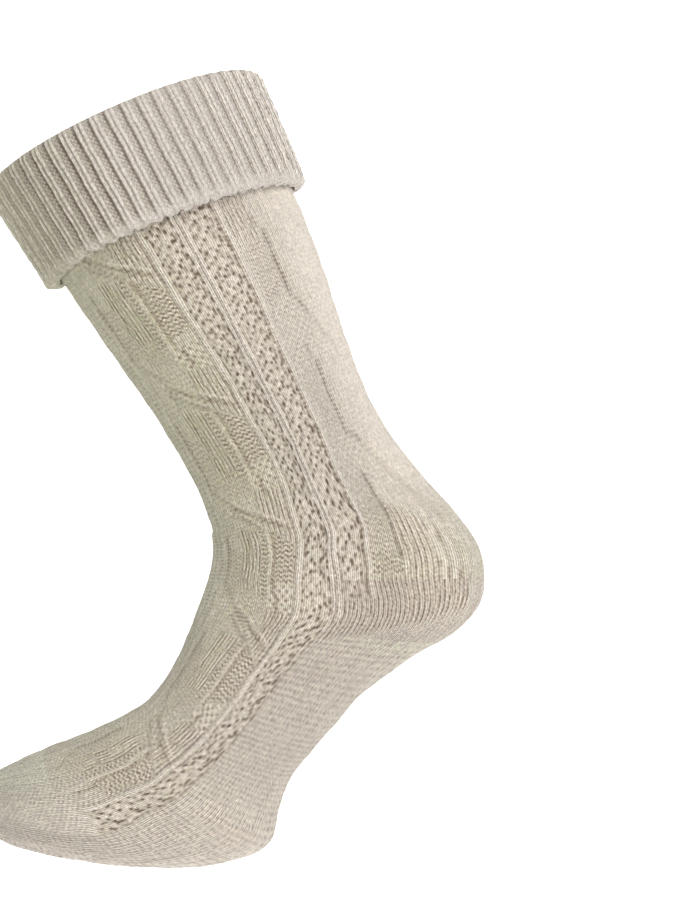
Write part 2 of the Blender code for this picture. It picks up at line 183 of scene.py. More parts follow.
@dataclass
class SockForm:
    """The sock's knitted surface: sections down the leg, round the heel and along the foot, in metres."""

    leg_length: float = 0.1860
    leg_lean: float = math.radians(27.0)
    calf_depth: float = 0.1245
    calf_width: float = 0.1000
    foot_length: float = 0.1650
    foot_fall: float = math.radians(46.0)
    foot_depth: float = 0.1250
    foot_width: float = 0.0960
    wall: float = 0.0026
    outline_steps: int = 720
    row_nudge: float = 0.01
    wale_nudge: float = 0.4
    least_width: float = 1e-9
    gauge_step: float = 0.05
    mark_step: float = 4.0
    values: np.ndarray = field(init=False)
    last_row: float = field(init=False)
    gauge_rows: np.ndarray = field(init=False)
    gauge_courses: np.ndarray = field(init=False)
    gauge_drops: np.ndarray = field(init=False)
    marks: np.ndarray = field(init=False)
    mark_courses: np.ndarray = field(init=False)

    def __post_init__(self) -> None:
        """Works the section table out in metres about the centre of the opening, and its lengths."""
        top = SECTIONS[0]
        centre = self.leg_point(
            self.leg_length * (top.front_along + top.back_along) / 2,
            self.calf_depth * (top.front_across + top.back_across) / 2,
        )
        self.values = np.array([self.section_in_metres(section, centre) for section in SECTIONS])
        self.last_row = len(SECTIONS) - 1.0
        self.gauge_rows = np.arange(0.0, self.last_row + NEAR, self.gauge_step)
        self.gauge_courses = self.travel(self.line(COURSE_WALE)) / COURSE_PITCH
        self.gauge_drops = self.travel(self.line(SIDE_WALE))
        self.marks = np.arange(0.0, HALF_WALES + 1.0, self.mark_step)
        self.mark_courses = np.array([self.travel(self.line(mark)) for mark in self.marks]) / COURSE_PITCH

    def line(self, wale: float) -> np.ndarray:
        """Points down one wale, one for each row of the gauge."""
        return np.array([self.ring(row, np.array([float(wale)]))[0] for row in self.gauge_rows])

    @staticmethod
    def travel(line: np.ndarray) -> np.ndarray:
        """Length along a line of points, from its first point to each of them."""
        return np.concatenate([[0.0], np.cumsum(np.linalg.norm(np.diff(line, axis=0), axis=1))])

    def leg_point(self, along: float, across: float) -> np.ndarray:
        """A point (x, z) given along and across the leg, from the ankle bend."""
        lean = self.leg_lean
        return np.array([
            across * math.cos(lean) - along * math.sin(lean),
            across * math.sin(lean) + along * math.cos(lean),
        ])

    def foot_point(self, along: float, across: float) -> np.ndarray:
        """A point (x, z) given along and across the foot, from the ankle bend."""
        fall = self.foot_fall
        return np.array([
            across * math.sin(fall) - along * math.cos(fall),
            -across * math.cos(fall) - along * math.sin(fall),
        ])

    def section_in_metres(self, section: Section, centre: np.ndarray) -> list[float]:
        """One row of the table in metres.

        Args:
            section: the row, in shares of its limb.
            centre: the centre of the opening, from the ankle bend.

        Returns:
            Front x and z, back x and z, half width, side line and the two powers of the outline.
        """
        if section.limb == "leg":
            place, length, depth, width = self.leg_point, self.leg_length, self.calf_depth, self.calf_width
        else:
            place, length, depth, width = self.foot_point, self.foot_length, self.foot_depth, self.foot_width
        front = place(section.front_along * length, section.front_across * depth) - centre
        back = place(section.back_along * length, section.back_across * depth) - centre
        return [*front, *back, section.width * width / 2, section.side_line,
                section.front_power, section.back_power]

    def section_at(self, row: float) -> np.ndarray:
        """Section values at a fractional table row, on a smooth curve through the rows.

        Args:
            row: row of the section table.

        Returns:
            The values of section_in_metres there.
        """
        row = min(max(row, 0.0), self.last_row)
        start = min(int(row), len(SECTIONS) - 2)
        share = row - start
        before = self.values[max(start - 1, 0)]
        here = self.values[start]
        following = self.values[start + 1]
        after = self.values[min(start + 2, len(SECTIONS) - 1)]
        leave = (following - before) / 2
        arrive = (after - here) / 2
        return (
            here * (2 * share**3 - 3 * share**2 + 1)
            + leave * (share**3 - 2 * share**2 + share)
            + following * (3 * share**2 - 2 * share**3)
            + arrive * (share**3 - share**2)
        )

    def ring(self, row: float, wales: np.ndarray) -> np.ndarray:
        """Points of the surface round one section.

        Args:
            row: row of the section table.
            wales: wales at which points are wanted.

        Returns:
            One point (x, y, z) for each wale.
        """
        front_x, front_z, back_x, back_z, half_width, side_line, front_power, back_power = self.section_at(row)
        turn = np.linspace(0.0, math.pi, self.outline_steps)
        power = np.where(turn < math.pi / 2, front_power, back_power)
        depth_share = (1 - np.sign(np.cos(turn)) * np.abs(np.cos(turn)) ** (2 / power)) / 2
        side = max(half_width, self.least_width) * np.abs(np.sin(turn)) ** (2 / power)
        depth = math.hypot(back_x - front_x, back_z - front_z)
        steps = np.hypot(np.diff(depth_share) * depth, np.diff(side))
        length = np.concatenate([[0.0], np.cumsum(steps)])
        side_length = np.interp(side_line, depth_share, length)
        count = from_front(wales)
        near_side = np.where((wales + HALF_WALES) % (2 * HALF_WALES) > HALF_WALES, 1.0, -1.0)
        reach = np.where(
            count <= SIDE_WALE,
            side_length * count / SIDE_WALE,
            side_length + (length[-1] - side_length) * (count - SIDE_WALE) / (HALF_WALES - SIDE_WALE),
        )
        share = np.interp(reach, length, depth_share)
        out = np.interp(reach, length, side)
        return np.stack([
            front_x + (back_x - front_x) * share,
            -near_side * out,
            front_z + (back_z - front_z) * share,
        ], axis=-1)

    def sheet(self, rows: np.ndarray, wales: np.ndarray) -> tuple[np.ndarray, np.ndarray]:
        """Points and outward normals of the surface over a grid of rows and wales.

        Args:
            rows: rows of the section table.
            wales: wales at which each row is read, of shape (rows, wales).

        Returns:
            Two arrays of shape (rows, wales, 3).
        """
        points = np.zeros((*wales.shape, 3))
        normals = np.zeros_like(points)
        for index, row in enumerate(rows):
            inner = min(row, self.last_row - 2 * self.row_nudge)
            here = wales[index]
            along = self.ring(inner + self.row_nudge, here) - self.ring(inner - self.row_nudge, here)
            around = self.ring(inner, here + self.wale_nudge) - self.ring(inner, here - self.wale_nudge)
            normal = np.cross(along, around)
            if row > inner:
                normal[:] = normal.mean(axis=0)
            points[index] = self.ring(row, here)
            normals[index] = normal / np.linalg.norm(normal, axis=-1, keepdims=True)
        return points, normals

    def course_of(self, rows: np.ndarray) -> np.ndarray:
        """Courses from the opening to each table row, counted along the cable wale."""
        return np.interp(rows, self.gauge_rows, self.gauge_courses)

    def own_courses(self, rows: np.ndarray, count: np.ndarray) -> np.ndarray:
        """Courses from the opening counted along each wale itself.

        Args:
            rows: table rows.
            count: wales from the front line.

        Returns:
            Courses, of shape (rows, count).
        """
        marked = np.array([np.interp(rows, self.gauge_rows, line) for line in self.mark_courses])
        return np.array([np.interp(count, self.marks, line) for line in marked.T])

    def row_of_course(self, courses: np.ndarray) -> np.ndarray:
        """Table rows at which the given courses lie."""
        return np.interp(courses, self.gauge_courses, self.gauge_rows)

    def row_of_drop(self, drops: np.ndarray) -> np.ndarray:
        """Table rows that lie the given drops, in metres, below the opening, by the side line."""
        return np.interp(drops, self.gauge_drops, self.gauge_rows)


class Motif(Enum):
    """What a patch of the chart is knitted in."""

    PLAIN = "plain"
    OPEN = "open"
    ZIGZAG = "zigzag"
    LADDER = "ladder"
    SEED = "seed"
    LACE = "lace"


@dataclass(frozen=True)
class Look:
    """How a motif stands off the fabric, in metres, how much painted shade darkens its hollows and how plain it is.
    """

    rise: float
    depth: float
    dark: float
    plain: float


LOOKS = {
    Motif.PLAIN: Look(rise=0.0, depth=0.00010, dark=0.50, plain=1.0),
    Motif.OPEN: Look(rise=0.0, depth=0.00015, dark=0.90, plain=0.90),
    Motif.ZIGZAG: Look(rise=-0.00020, depth=0.00035, dark=1.35, plain=0.50),
    Motif.LADDER: Look(rise=0.00005, depth=0.00050, dark=1.10, plain=0.65),
    Motif.SEED: Look(rise=0.0, depth=0.00040, dark=1.05, plain=0.75),
    Motif.LACE: Look(rise=-0.00020, depth=0.00130, dark=0.96, plain=0.60),
}

# One repeat of the lace, seven stitches wide: O is a large hole, o a small one, k a stitch and K a knot
LACE_REPEAT = (
    "kKOkOkK",
    "kokKkok",
    "oKkkKoO",
    "kkoKOok",
    "koKOkKo",
    "okKkkkO",
)
LACE_SIZES = {"O": 1.05, "o": 0.80, "K": -0.7, "k": 0.22}


@dataclass(frozen=True)
class Patch:
    """A patch of one motif: its wales, and the courses of its corners from a field's top or foot."""

    motif: Motif
    left: float
    right: float
    top_left: float
    top_right: float
    foot_left: float
    foot_right: float
    strength: float = 1.0


@dataclass(frozen=True)
class CableField:
    """One field of the travelling cable, by its first and last course."""

    top: float
    foot: float


@dataclass(frozen=True)
class Strand:
    """A line of stitches across the chart, raised or sunk, with painted shade along it and its courses from a
    field's top or foot.
    """

    top: float
    top_wale: float
    foot: float
    foot_wale: float
    rise: float
    dark: float
    top_at_foot: bool = False
    foot_at_foot: bool = True
    width: float = 0.42

    def courses(self, part: CableField) -> tuple[float, float]:
        """First and last course of the strand in one field.

        Args:
            part: the field.

        Returns:
            Both courses, from the opening.
        """
        top = self.top + (part.foot if self.top_at_foot else part.top)
        foot = self.foot + (part.foot if self.foot_at_foot or self.top_at_foot else part.top)
        return top, foot


WHOLE_SOCK = CableField(0.0, 0.0)
FIELDS = (
    CableField(44.0, 68.5),
    CableField(86.5, 109.5),
    CableField(124.5, 146.0),
    CableField(161.0, 186.0),
    CableField(202.0, 223.0),
)

# Patches and strands of every field, in the order in which they cover one another
FIELD_PATCHES = (
    Patch(Motif.LADDER, 22.6, 28.7, -13.0, -13.0, 0.0, 8.0),
    Patch(Motif.SEED, 22.6, 28.7, -18.0, -18.0, -11.0, -9.0),
    Patch(Motif.SEED, 14.0, 22.6, -12.0, -6.0, -7.0, 2.0, 0.8),
    Patch(Motif.LADDER, 15.2, 22.6, -1.0, 2.0, 19.0, 24.0, 0.8),
    Patch(Motif.ZIGZAG, 11.4, 15.2, 5.0, 7.0, 24.0, 22.0, 0.55),
    Patch(Motif.ZIGZAG, 15.2, 22.6, 19.0, 21.0, 26.0, 29.0, 0.5),
    Patch(Motif.ZIGZAG, 20.6, 28.4, -1.0, 8.0, 23.0, 21.0),
)
FIELD_STRANDS = (
    Strand(1.0, 10.9, -2.0, 10.9, -0.0004, 0.85, width=0.55),
    Strand(-1.0, 11.2, 8.0, 17.2, -0.0003, 0.55, top_at_foot=True, width=0.7),
    Strand(-9.0, 15.8, 3.0, 27.6, -0.0003, 0.75, foot_at_foot=False, width=0.8),
    Strand(-7.0, 15.0, 4.0, 24.5, -0.0001, 0.60, foot_at_foot=False, width=0.7),
    Strand(-11.0, 15.8, 1.0, 27.6, 0.0002, 0.0, foot_at_foot=False),
    Strand(2.0, 22.5, 1.0, 22.8, 0.0005, 0.10, width=0.45),
    Strand(3.0, 23.5, 0.0, 23.7, -0.0003, 0.75, width=0.35),
    Strand(1.0, 24.6, 6.5, 24.9, -0.0006, 0.9, top_at_foot=True),
)

# Ground under the fields, and patches over them, with courses from the opening
GROUND_PATCHES = (
    Patch(Motif.PLAIN, -1.0, 73.0, 0.0, 0.0, 400.0, 400.0),
    Patch(Motif.OPEN, 2.0, 29.2, 60.0, 30.0, 400.0, 400.0, 0.7),
    Patch(Motif.OPEN, 36.2, 68.0, 156.0, 146.0, 400.0, 400.0),
)
FIXED_PATCHES = (
    Patch(Motif.LADDER, 45.6, 51.2, 30.0, 30.0, 46.0, 49.0, 0.7),
    Patch(Motif.ZIGZAG, 46.5, 52.0, 50.0, 47.0, 70.0, 64.0, 0.5),
    Patch(Motif.SEED, 46.0, 56.0, 70.0, 66.0, 88.0, 84.0, 0.4),
    Patch(Motif.ZIGZAG, 46.0, 51.8, 90.0, 88.0, 112.0, 108.0, 0.3),
    Patch(Motif.SEED, 46.0, 55.0, 113.0, 109.0, 126.0, 122.0, 0.4),
    Patch(Motif.ZIGZAG, 45.4, 52.2, 126.0, 124.0, 135.0, 137.0, 0.5),
    Patch(Motif.ZIGZAG, 44.8, 52.6, 135.0, 137.0, 141.0, 141.6, 0.85),
    Patch(Motif.LADDER, 53.0, 60.5, 127.0, 133.0, 143.0, 143.0, 0.9),
    Patch(Motif.LACE, 29.8, 36.2, 0.0, 0.0, 231.0, 231.0),
    Patch(Motif.LACE, 37.7, 44.5, 0.0, 0.0, 146.0, 146.0),
    Patch(Motif.LADDER, 36.6, 45.0, 146.5, 146.5, 158.0, 154.5),
    Patch(Motif.LADDER, 44.6, 64.0, 142.0, 140.0, 154.5, 147.5),
)
FIXED_STRANDS = (
    Strand(0.0, 28.7, 231.0, 28.7, -0.0003, 0.70, width=0.32),
    Strand(0.0, 29.4, 231.0, 29.4, 0.0009, 0.0, width=0.42),
    Strand(0.0, 36.9, 156.0, 36.9, -0.0002, 0.65, width=0.26),
    Strand(0.0, 36.3, 156.0, 36.3, 0.0010, 0.0, width=0.36),
    Strand(0.0, 37.5, 152.0, 37.5, 0.0011, 0.0, width=0.40),
    Strand(156.0, 35.9, 231.0, 35.9, -0.0002, 0.55, width=0.32),
    Strand(0.0, 44.3, 146.0, 44.3, -0.0004, 0.80, width=0.42),
    Strand(0.0, 45.0, 146.0, 45.0, 0.0008, 0.0, width=0.40),
    Strand(40.5, 51.3, 45.0, 51.4, -0.0004, 0.60),
    Strand(82.0, 51.3, 86.5, 51.4, -0.0004, 0.60),
    Strand(46.0, 52.5, 67.5, 52.5, -0.0007, 1.0, width=0.50),
    Strand(88.0, 52.5, 111.5, 52.5, -0.0007, 1.0, width=0.50),
    Strand(121.0, 52.3, 137.5, 52.3, -0.0006, 0.95, width=0.50),
    Strand(30.0, 56.5, 48.0, 63.5, -0.0003, 0.50, width=0.7),
    Strand(68.5, 53.6, 91.5, 62.4, -0.0003, 0.62, width=0.8),
    Strand(111.5, 53.6, 132.0, 63.0, -0.0003, 0.62, width=0.8),
)


@dataclass(frozen=True)
class Drift:
    """How far the stitch lines stray from the form's even wales at one course, in wales."""

    course: float
    cable: float
    rib: float
    side: float
    lace: float
    back: float


DRIFT_WALES = (0.0, 10.0, 23.0, 29.5, 37.0, 45.0, 52.5, 64.0, 72.0)
DRIFTS = (
    Drift(30.0, -0.7, -0.2, -0.4, -0.2, -0.4),
    Drift(47.0, -1.0, -0.1, -0.3, -0.1, 0.0),
    Drift(60.0, -0.5, 0.0, -0.1, 0.0, 0.0),
    Drift(72.0, -0.1, 0.8, 0.0, 0.0, 0.0),
    Drift(85.0, 0.3, 1.3, 0.3, 0.3, 0.0),
    Drift(95.0, 1.0, 1.5, 0.6, 0.7, 0.0),
    Drift(107.0, 1.9, 2.2, 0.9, 0.8, 0.0),
    Drift(114.0, 1.2, 2.2, 0.6, 0.3, -0.5),
    Drift(120.0, 0.0, 1.4, 0.1, -0.5, -2.0),
    Drift(127.0, -0.7, -0.1, -0.8, -1.4, -2.8),
    Drift(134.0, -0.8, -0.6, -1.2, -2.0, -3.0),
    Drift(142.2, -0.9, -0.8, 0.0, -1.7, -2.6),
    Drift(150.0, -0.6, -0.9, 0.0, -0.4, -0.8),
    Drift(156.0, 0.0, -0.7, 0.0, 0.0, 0.0),
    Drift(164.0, 0.3, 0.2, 0.0, 0.0, 0.0),
    Drift(200.0, 0.4, 0.7, 0.0, 0.0, 0.0),
    Drift(226.0, 0.5, 0.4, 0.0, 0.0, 0.0),
    Drift(234.8, 0.0, 0.0, 0.0, 0.0, 0.0),
)


def stray(count: np.ndarray, course: float) -> np.ndarray:
    """How far the stitch lines stray from the even wales at one course.

    Args:
        count: wales from the front line.
        course: the course.

    Returns:
        The way astray at each wale, in wales.
    """
    courses, *strays = np.array([astuple(drift) for drift in DRIFTS]).T
    here = [float(np.interp(course, courses, line)) for line in strays]
    return np.interp(count, DRIFT_WALES, (0.0, 0.0, *here, 0.0, 0.0))


@dataclass
class Fabric:
    """Relief, painted shade in the hollows, plain share (which also sets the painted shade in the gaps) and tone
    over one grid of stitches.
    """

    relief: np.ndarray
    hollow_shade: np.ndarray
    plain: np.ndarray
    tone: np.ndarray


@dataclass
class Uneven:
    """Small chance differences from stitch to stitch, the same in every run."""

    seed: int = 11
    size: int = 211
    part_columns: int = 37
    part_rows: int = 53
    wander: float = 0.17
    quick_share: float = 0.6
    table: np.ndarray = field(init=False)

    def __post_init__(self) -> None:
        """Draws the table of chances."""
        self.table = np.random.default_rng(self.seed).random((self.size, self.size))

    def chance(self, across: np.ndarray, down: np.ndarray, part: int = 0) -> np.ndarray:
        """The chance of the stitch at each place.

        Args:
            across: place across the knitting, in stitches.
            down: place down the knitting, in stitches.
            part: from which part of the table it is read.

        Returns:
            A number from 0 to 1 for each place.
        """
        column = (np.floor(across).astype(int) + self.part_columns * part) % self.size
        row = (np.floor(down).astype(int) + self.part_rows * part) % self.size
        return self.table[row, column]

    def sway(self, across: np.ndarray, down: np.ndarray) -> np.ndarray:
        """How far the stitch lines wander to a side.

        Args:
            across: place across the knitting, in stitches.
            down: place down the knitting, in stitches.

        Returns:
            The way to the side at each place, in stitches.
        """
        quick = crossed(QUICK_SWAY, across, down)
        return self.wander * (crossed(SLOW_SWAY, across, down) + self.quick_share * quick)


@dataclass(frozen=True)
class LaceLots:
    """What chance does to each lace stitch: its size, its place, its lean, and a second hole now and then."""

    start: float = 43.5
    row_step: int = 7
    least: float = 0.65
    spread: float = 0.6
    second: float = 0.45
    second_from: float = 0.75
    aside: float = 0.4
    below: float = 0.5
    lean: float = 0.7
    upright: float = 0.2


@dataclass
class StitchChart:
    """The stitch chart of the whole sock, by course and by wale from the front line.

    Pairs of numbers are wales or courses between which something grows from nothing to its full share.
    """

    loop_width: float = 0.93
    loop_height: float = 1.4
    soft_wales: float = 0.35
    soft_courses: float = 0.9
    slant: float = 0.8
    slant_courses: tuple[float, float] = (150.0, 200.0)
    # Motifs
    zigzag_swing: float = 0.24
    zigzag_turn: float = 0.72
    zigzag_level: float = 0.35
    zigzag_dots: float = 0.32
    ladder_power: float = 1.5
    ladder_dots: float = 0.30
    seed_rows: float = 1.1
    seed_power: float = 1.2
    groove_dots: float = 0.55
    hole_width: float = 0.25
    hole_height: float = 0.36
    lace_ground: float = 0.05
    lace_shade: float = 0.10
    lots: LaceLots = LaceLots()
    # Strands
    strand_dots: float = 0.34
    strand_before: float = 1.0
    strand_after: float = 0.5
    smoothing: float = 0.4
    # Unevenness, in metres and in shares
    rough: float = 0.00022
    pucker: float = 0.00025
    row_sway: float = 0.8
    hollow_least: float = 0.62
    hollow_spread: float = 0.76
    # The plain back of the leg, with less painted shade in its hollows and gaps
    back_wales: tuple[float, float] = (50.0, 62.0)
    back_courses: tuple[float, float] = (138.0, 120.0)
    back_hollow: float = 0.6
    back_plain: float = 0.45
    open_limit: float = 0.9
    # The front line, and its bend at the ankle
    front_wales: tuple[float, float] = (14.0, 6.0)
    front_plain: float = 0.6
    bend_starts: tuple[float, float] = (110.0, 125.0)
    bend_ends: tuple[float, float] = (168.0, 150.0)
    bend_calm: float = 0.8
    # Tone, with painted shade at the front, painted highlight on raised stitches and painted light over the foot
    tone_and_shade_wales: tuple[float, float] = (14.0, 42.0)
    tone_chance: float = 0.50
    relief_highlight: float = 200.0
    highlight_relief_cap: float = 0.001
    foot_front_light: float = 0.4
    foot_light_courses: tuple[float, float] = (80.0, 180.0)
    foot_light_wales: tuple[float, float] = (40.0, 20.0)
    heel_tone: float = 0.45
    heel_starts: tuple[float, float] = (115.0, 142.0)
    heel_ends: tuple[float, float] = (170.0, 150.0)
    heel_wales: tuple[float, float] = (38.0, 48.0)
    uneven: Uneven = field(default_factory=Uneven)

    def rows_down(self, count: np.ndarray, course: np.ndarray) -> np.ndarray:
        """Courses along the true rows of knitting, which slant on the foot."""
        aside = np.minimum(count, SIDE_WALE) - COURSE_WALE
        return course - self.slant * ease(course, *self.slant_courses) * aside

    def motif(self, patch: Patch, count: np.ndarray, course: np.ndarray,
              down: np.ndarray) -> tuple[np.ndarray, np.ndarray]:
        """Height and painted shade of a patch's motif, both as shares.

        Args:
            patch: the patch.
            count: wales from the front line.
            course: courses from the opening.
            down: courses along the true rows of knitting.

        Returns:
            Height from -1 to 1 and painted shade from 0 to 1.
        """
        motif = patch.motif
        wale = count / self.loop_width
        row = down / self.loop_height
        if motif is Motif.ZIGZAG:
            wave = np.cos(TURN * (row + self.zigzag_swing * np.sin(TURN * wale * self.zigzag_turn)))
            dots = dotted(self.zigzag_dots, 2 * wale * self.zigzag_turn)
            return wave, np.clip(self.zigzag_level - wave, 0.0, 1.0) * dots
        if motif is Motif.LADDER:
            line = (0.5 - 0.5 * np.cos(TURN * wale)) ** self.ladder_power
            odd = np.where(np.floor(wale + 0.5) % 2 > 0, 0.5, 0.0)
            return 1 - 2 * line, line * dotted(self.ladder_dots, row + odd)
        if motif is Motif.SEED:
            check = np.cos(math.pi * wale) * np.cos(math.pi * row * self.seed_rows)
            return check, np.clip(-check, 0.0, 1.0) ** self.seed_power
        if motif is Motif.LACE:
            return self.lace((count - patch.left) / (patch.right - patch.left), course, round(patch.left))
        groove = np.cos(TURN * wale)
        return groove, np.clip(-groove, 0.0, 1.0) * dotted(self.groove_dots, row)

    def lace(self, across: np.ndarray, course: np.ndarray, band: int) -> tuple[np.ndarray, np.ndarray]:
        """Holes and knots of the lace, each a little uneven: holes sunk and darkened with painted shade, knots
        clear of the painted shade of the lace ground.

        Args:
            across: place across the band, from 0 to 1.
            course: courses from the opening.
            band: a number that is the band's own, for its uneven stitches.

        Returns:
            Height from -1 to 1 and painted shade from 0 to 1.
        """
        lots = self.lots
        repeat = len(LACE_REPEAT)
        height = np.full(across.shape, self.lace_ground)
        dark = np.full(across.shape, self.lace_shade)
        for row, line in enumerate(LACE_REPEAT):
            turn = (course - lots.start - row) / repeat + 0.5
            for place, key in enumerate(line):
                own = np.full_like(across, band + place)
                lot = [self.uneven.chance(own, turn + lots.row_step * row, part) for part in range(4)]
                size = LACE_SIZES[key] * (lots.least + lots.spread * lot[0])
                size = size + lots.second * (lot[3] > lots.second_from)
                aside = across * len(line) - place - 0.5 + lots.aside * (lot[1] - 0.5)
                below = (turn % 1.0 - 0.5) * repeat + lots.below * (lot[2] - 0.5)
                below = below + (lots.lean * lot[3] - lots.upright) * aside
                spot = np.exp(-0.5 * ((aside / self.hole_width) ** 2 + (below / self.hole_height) ** 2)) * size
                height = height - spot
                dark = dark + np.maximum(spot, -self.lace_shade)
        return np.clip(height, -1.0, 1.0), np.clip(dark, 0.0, 1.0)

    def cover(self, patch: Patch, count: np.ndarray, course: np.ndarray, start: float) -> np.ndarray:
        """How much of each place a patch covers.

        Args:
            patch: the patch.
            count: wales from the front line.
            course: courses from the opening.
            start: course from which the patch's own courses are counted.

        Returns:
            The share covered, from 0 to 1.
        """
        share = np.clip((count - patch.left) / (patch.right - patch.left), 0.0, 1.0)
        top = start + patch.top_left + (patch.top_right - patch.top_left) * share
        foot = start + patch.foot_left + (patch.foot_right - patch.foot_left) * share
        return (
            ease(count, patch.left - self.soft_wales, patch.left + self.soft_wales)
            * ease(count, patch.right + self.soft_wales, patch.right - self.soft_wales)
            * ease(course, top - self.soft_courses, top + self.soft_courses)
            * ease(course, foot + self.soft_courses, foot - self.soft_courses)
            * patch.strength
        )

    def lay_patches(self, fabric: Fabric, count: np.ndarray, course: np.ndarray, down: np.ndarray) -> None:
        """Lays the ground, the fields' patches and the fixed patches over one another.

        Args:
            fabric: the fabric that they change.
            count: wales from the front line.
            course: courses from the opening.
            down: courses along the true rows of knitting.
        """
        patches = [(patch, WHOLE_SOCK) for patch in GROUND_PATCHES]
        patches += [(patch, part) for part in FIELDS for patch in FIELD_PATCHES]
        patches += [(patch, WHOLE_SOCK) for patch in FIXED_PATCHES]
        for patch, part in patches:
            share = self.cover(patch, count, course, part.top)
            look = LOOKS[patch.motif]
            height, dark = self.motif(patch, count, course, down)
            fabric.relief = fabric.relief * (1 - share) + share * (look.rise + look.depth * height)
            fabric.hollow_shade = fabric.hollow_shade * (1 - share) + share * look.dark * dark
            fabric.plain = fabric.plain * (1 - share) + share * look.plain

    def lay_strands(self, fabric: Fabric, count: np.ndarray, course: np.ndarray, down: np.ndarray) -> None:
        """Lays the fields' strands and the fixed strands over the patches, with the painted shade along them.

        Args:
            fabric: the fabric that they change.
            count: wales from the front line.
            course: courses from the opening.
            down: courses along the true rows of knitting.
        """
        strands = [(strand, part) for part in FIELDS for strand in FIELD_STRANDS]
        strands += [(strand, WHOLE_SOCK) for strand in FIXED_STRANDS]
        dots = dotted(self.strand_dots, down / self.loop_height)
        for strand, part in strands:
            top, foot = strand.courses(part)
            share = np.clip((course - top) / (foot - top), 0.0, 1.0)
            line = strand.top_wale + (strand.foot_wale - strand.top_wale) * share
            near = np.exp(-(((count - line) / strand.width) ** 2))
            near = near * ease(course, top - self.strand_before, top + self.strand_after)
            near = near * ease(course, foot + self.strand_before, foot - self.strand_after)
            kept = 1 - self.smoothing * near
            fabric.relief = fabric.relief * kept + strand.rise * near
            fabric.hollow_shade = fabric.hollow_shade * (1 - near * (1 - strand.dark)) * kept + strand.dark * near * dots

    def tone(self, count: np.ndarray, course: np.ndarray, relief: np.ndarray,
             chance: np.ndarray) -> np.ndarray:
        """The yarn's tone, from its front colour at 0 to its back colour at 1, with painted light in it: painted
        shade towards the front, a painted highlight on raised stitches and painted light over the front of the ankle
        and foot.

        Args:
            count: wales from the front line.
            course: courses from the opening.
            relief: the fabric's relief in metres.
            chance: the chance of each stitch.

        Returns:
            The tone of each place.
        """
        # Painted light from above: lighter down the front from the lower shin over the foot
        foot = ease(course, *self.foot_light_courses) * ease(count, *self.foot_light_wales)
        heel = ease(course, *self.heel_starts) * ease(course, *self.heel_ends) * ease(count, *self.heel_wales)
        # Front to back: the yarn's tone, darker at the front with painted shade, plus random tone from stitch to
        # stitch
        tone = ease(count, *self.tone_and_shade_wales) + self.tone_chance * (chance - 0.5)
        # Painted highlight: raised stitches lighter
        tone = tone + self.relief_highlight * np.clip(relief, 0.0, self.highlight_relief_cap)
        return tone + self.foot_front_light * foot - self.heel_tone * heel

    def fabric(self, count: np.ndarray, course: np.ndarray, down: np.ndarray) -> Fabric:
        """Works out the fabric of a grid.

        Args:
            count: wale of each grid point, from the front line.
            course: course of each grid point.
            down: course of each grid point along the true rows of knitting.

        Returns:
            The fabric at each grid point.
        """
        chance = self.uneven.chance(count / self.loop_width, down / self.loop_height)
        sway = self.uneven.sway(count, course)
        swayed = count + sway
        down = down + self.row_sway * sway[::-1]
        nothing = np.zeros_like(count)
        fabric = Fabric(relief=nothing, hollow_shade=nothing, plain=nothing + 1, tone=nothing)
        self.lay_patches(fabric, swayed, course, down)
        self.lay_strands(fabric, swayed, course, down)
        fabric.tone = self.tone(count, course, fabric.relief, chance)
        back = ease(count, *self.back_wales) * ease(course, *self.back_courses)
        # Painted shade in the hollows, uneven from stitch to stitch and less over the plain back of the leg
        hollow_shade = fabric.hollow_shade * (self.hollow_least + self.hollow_spread * chance)
        hollow_shade = hollow_shade * (1 - self.back_hollow * back * (fabric.plain > self.open_limit))
        fabric.hollow_shade = np.clip(hollow_shade, 0.0, 1.0)
        front = ease(count, *self.front_wales)
        fabric.plain = fabric.plain * (1 - self.back_plain * back) * (1 + self.front_plain * front)
        bend = front * ease(course, *self.bend_starts) * ease(course, *self.bend_ends)
        uneven = self.rough * (chance - 0.5) + self.pucker * crossed(PUCKER, swayed, course)
        fabric.relief = (fabric.relief + uneven) * (1 - self.bend_calm * bend)
        return fabric


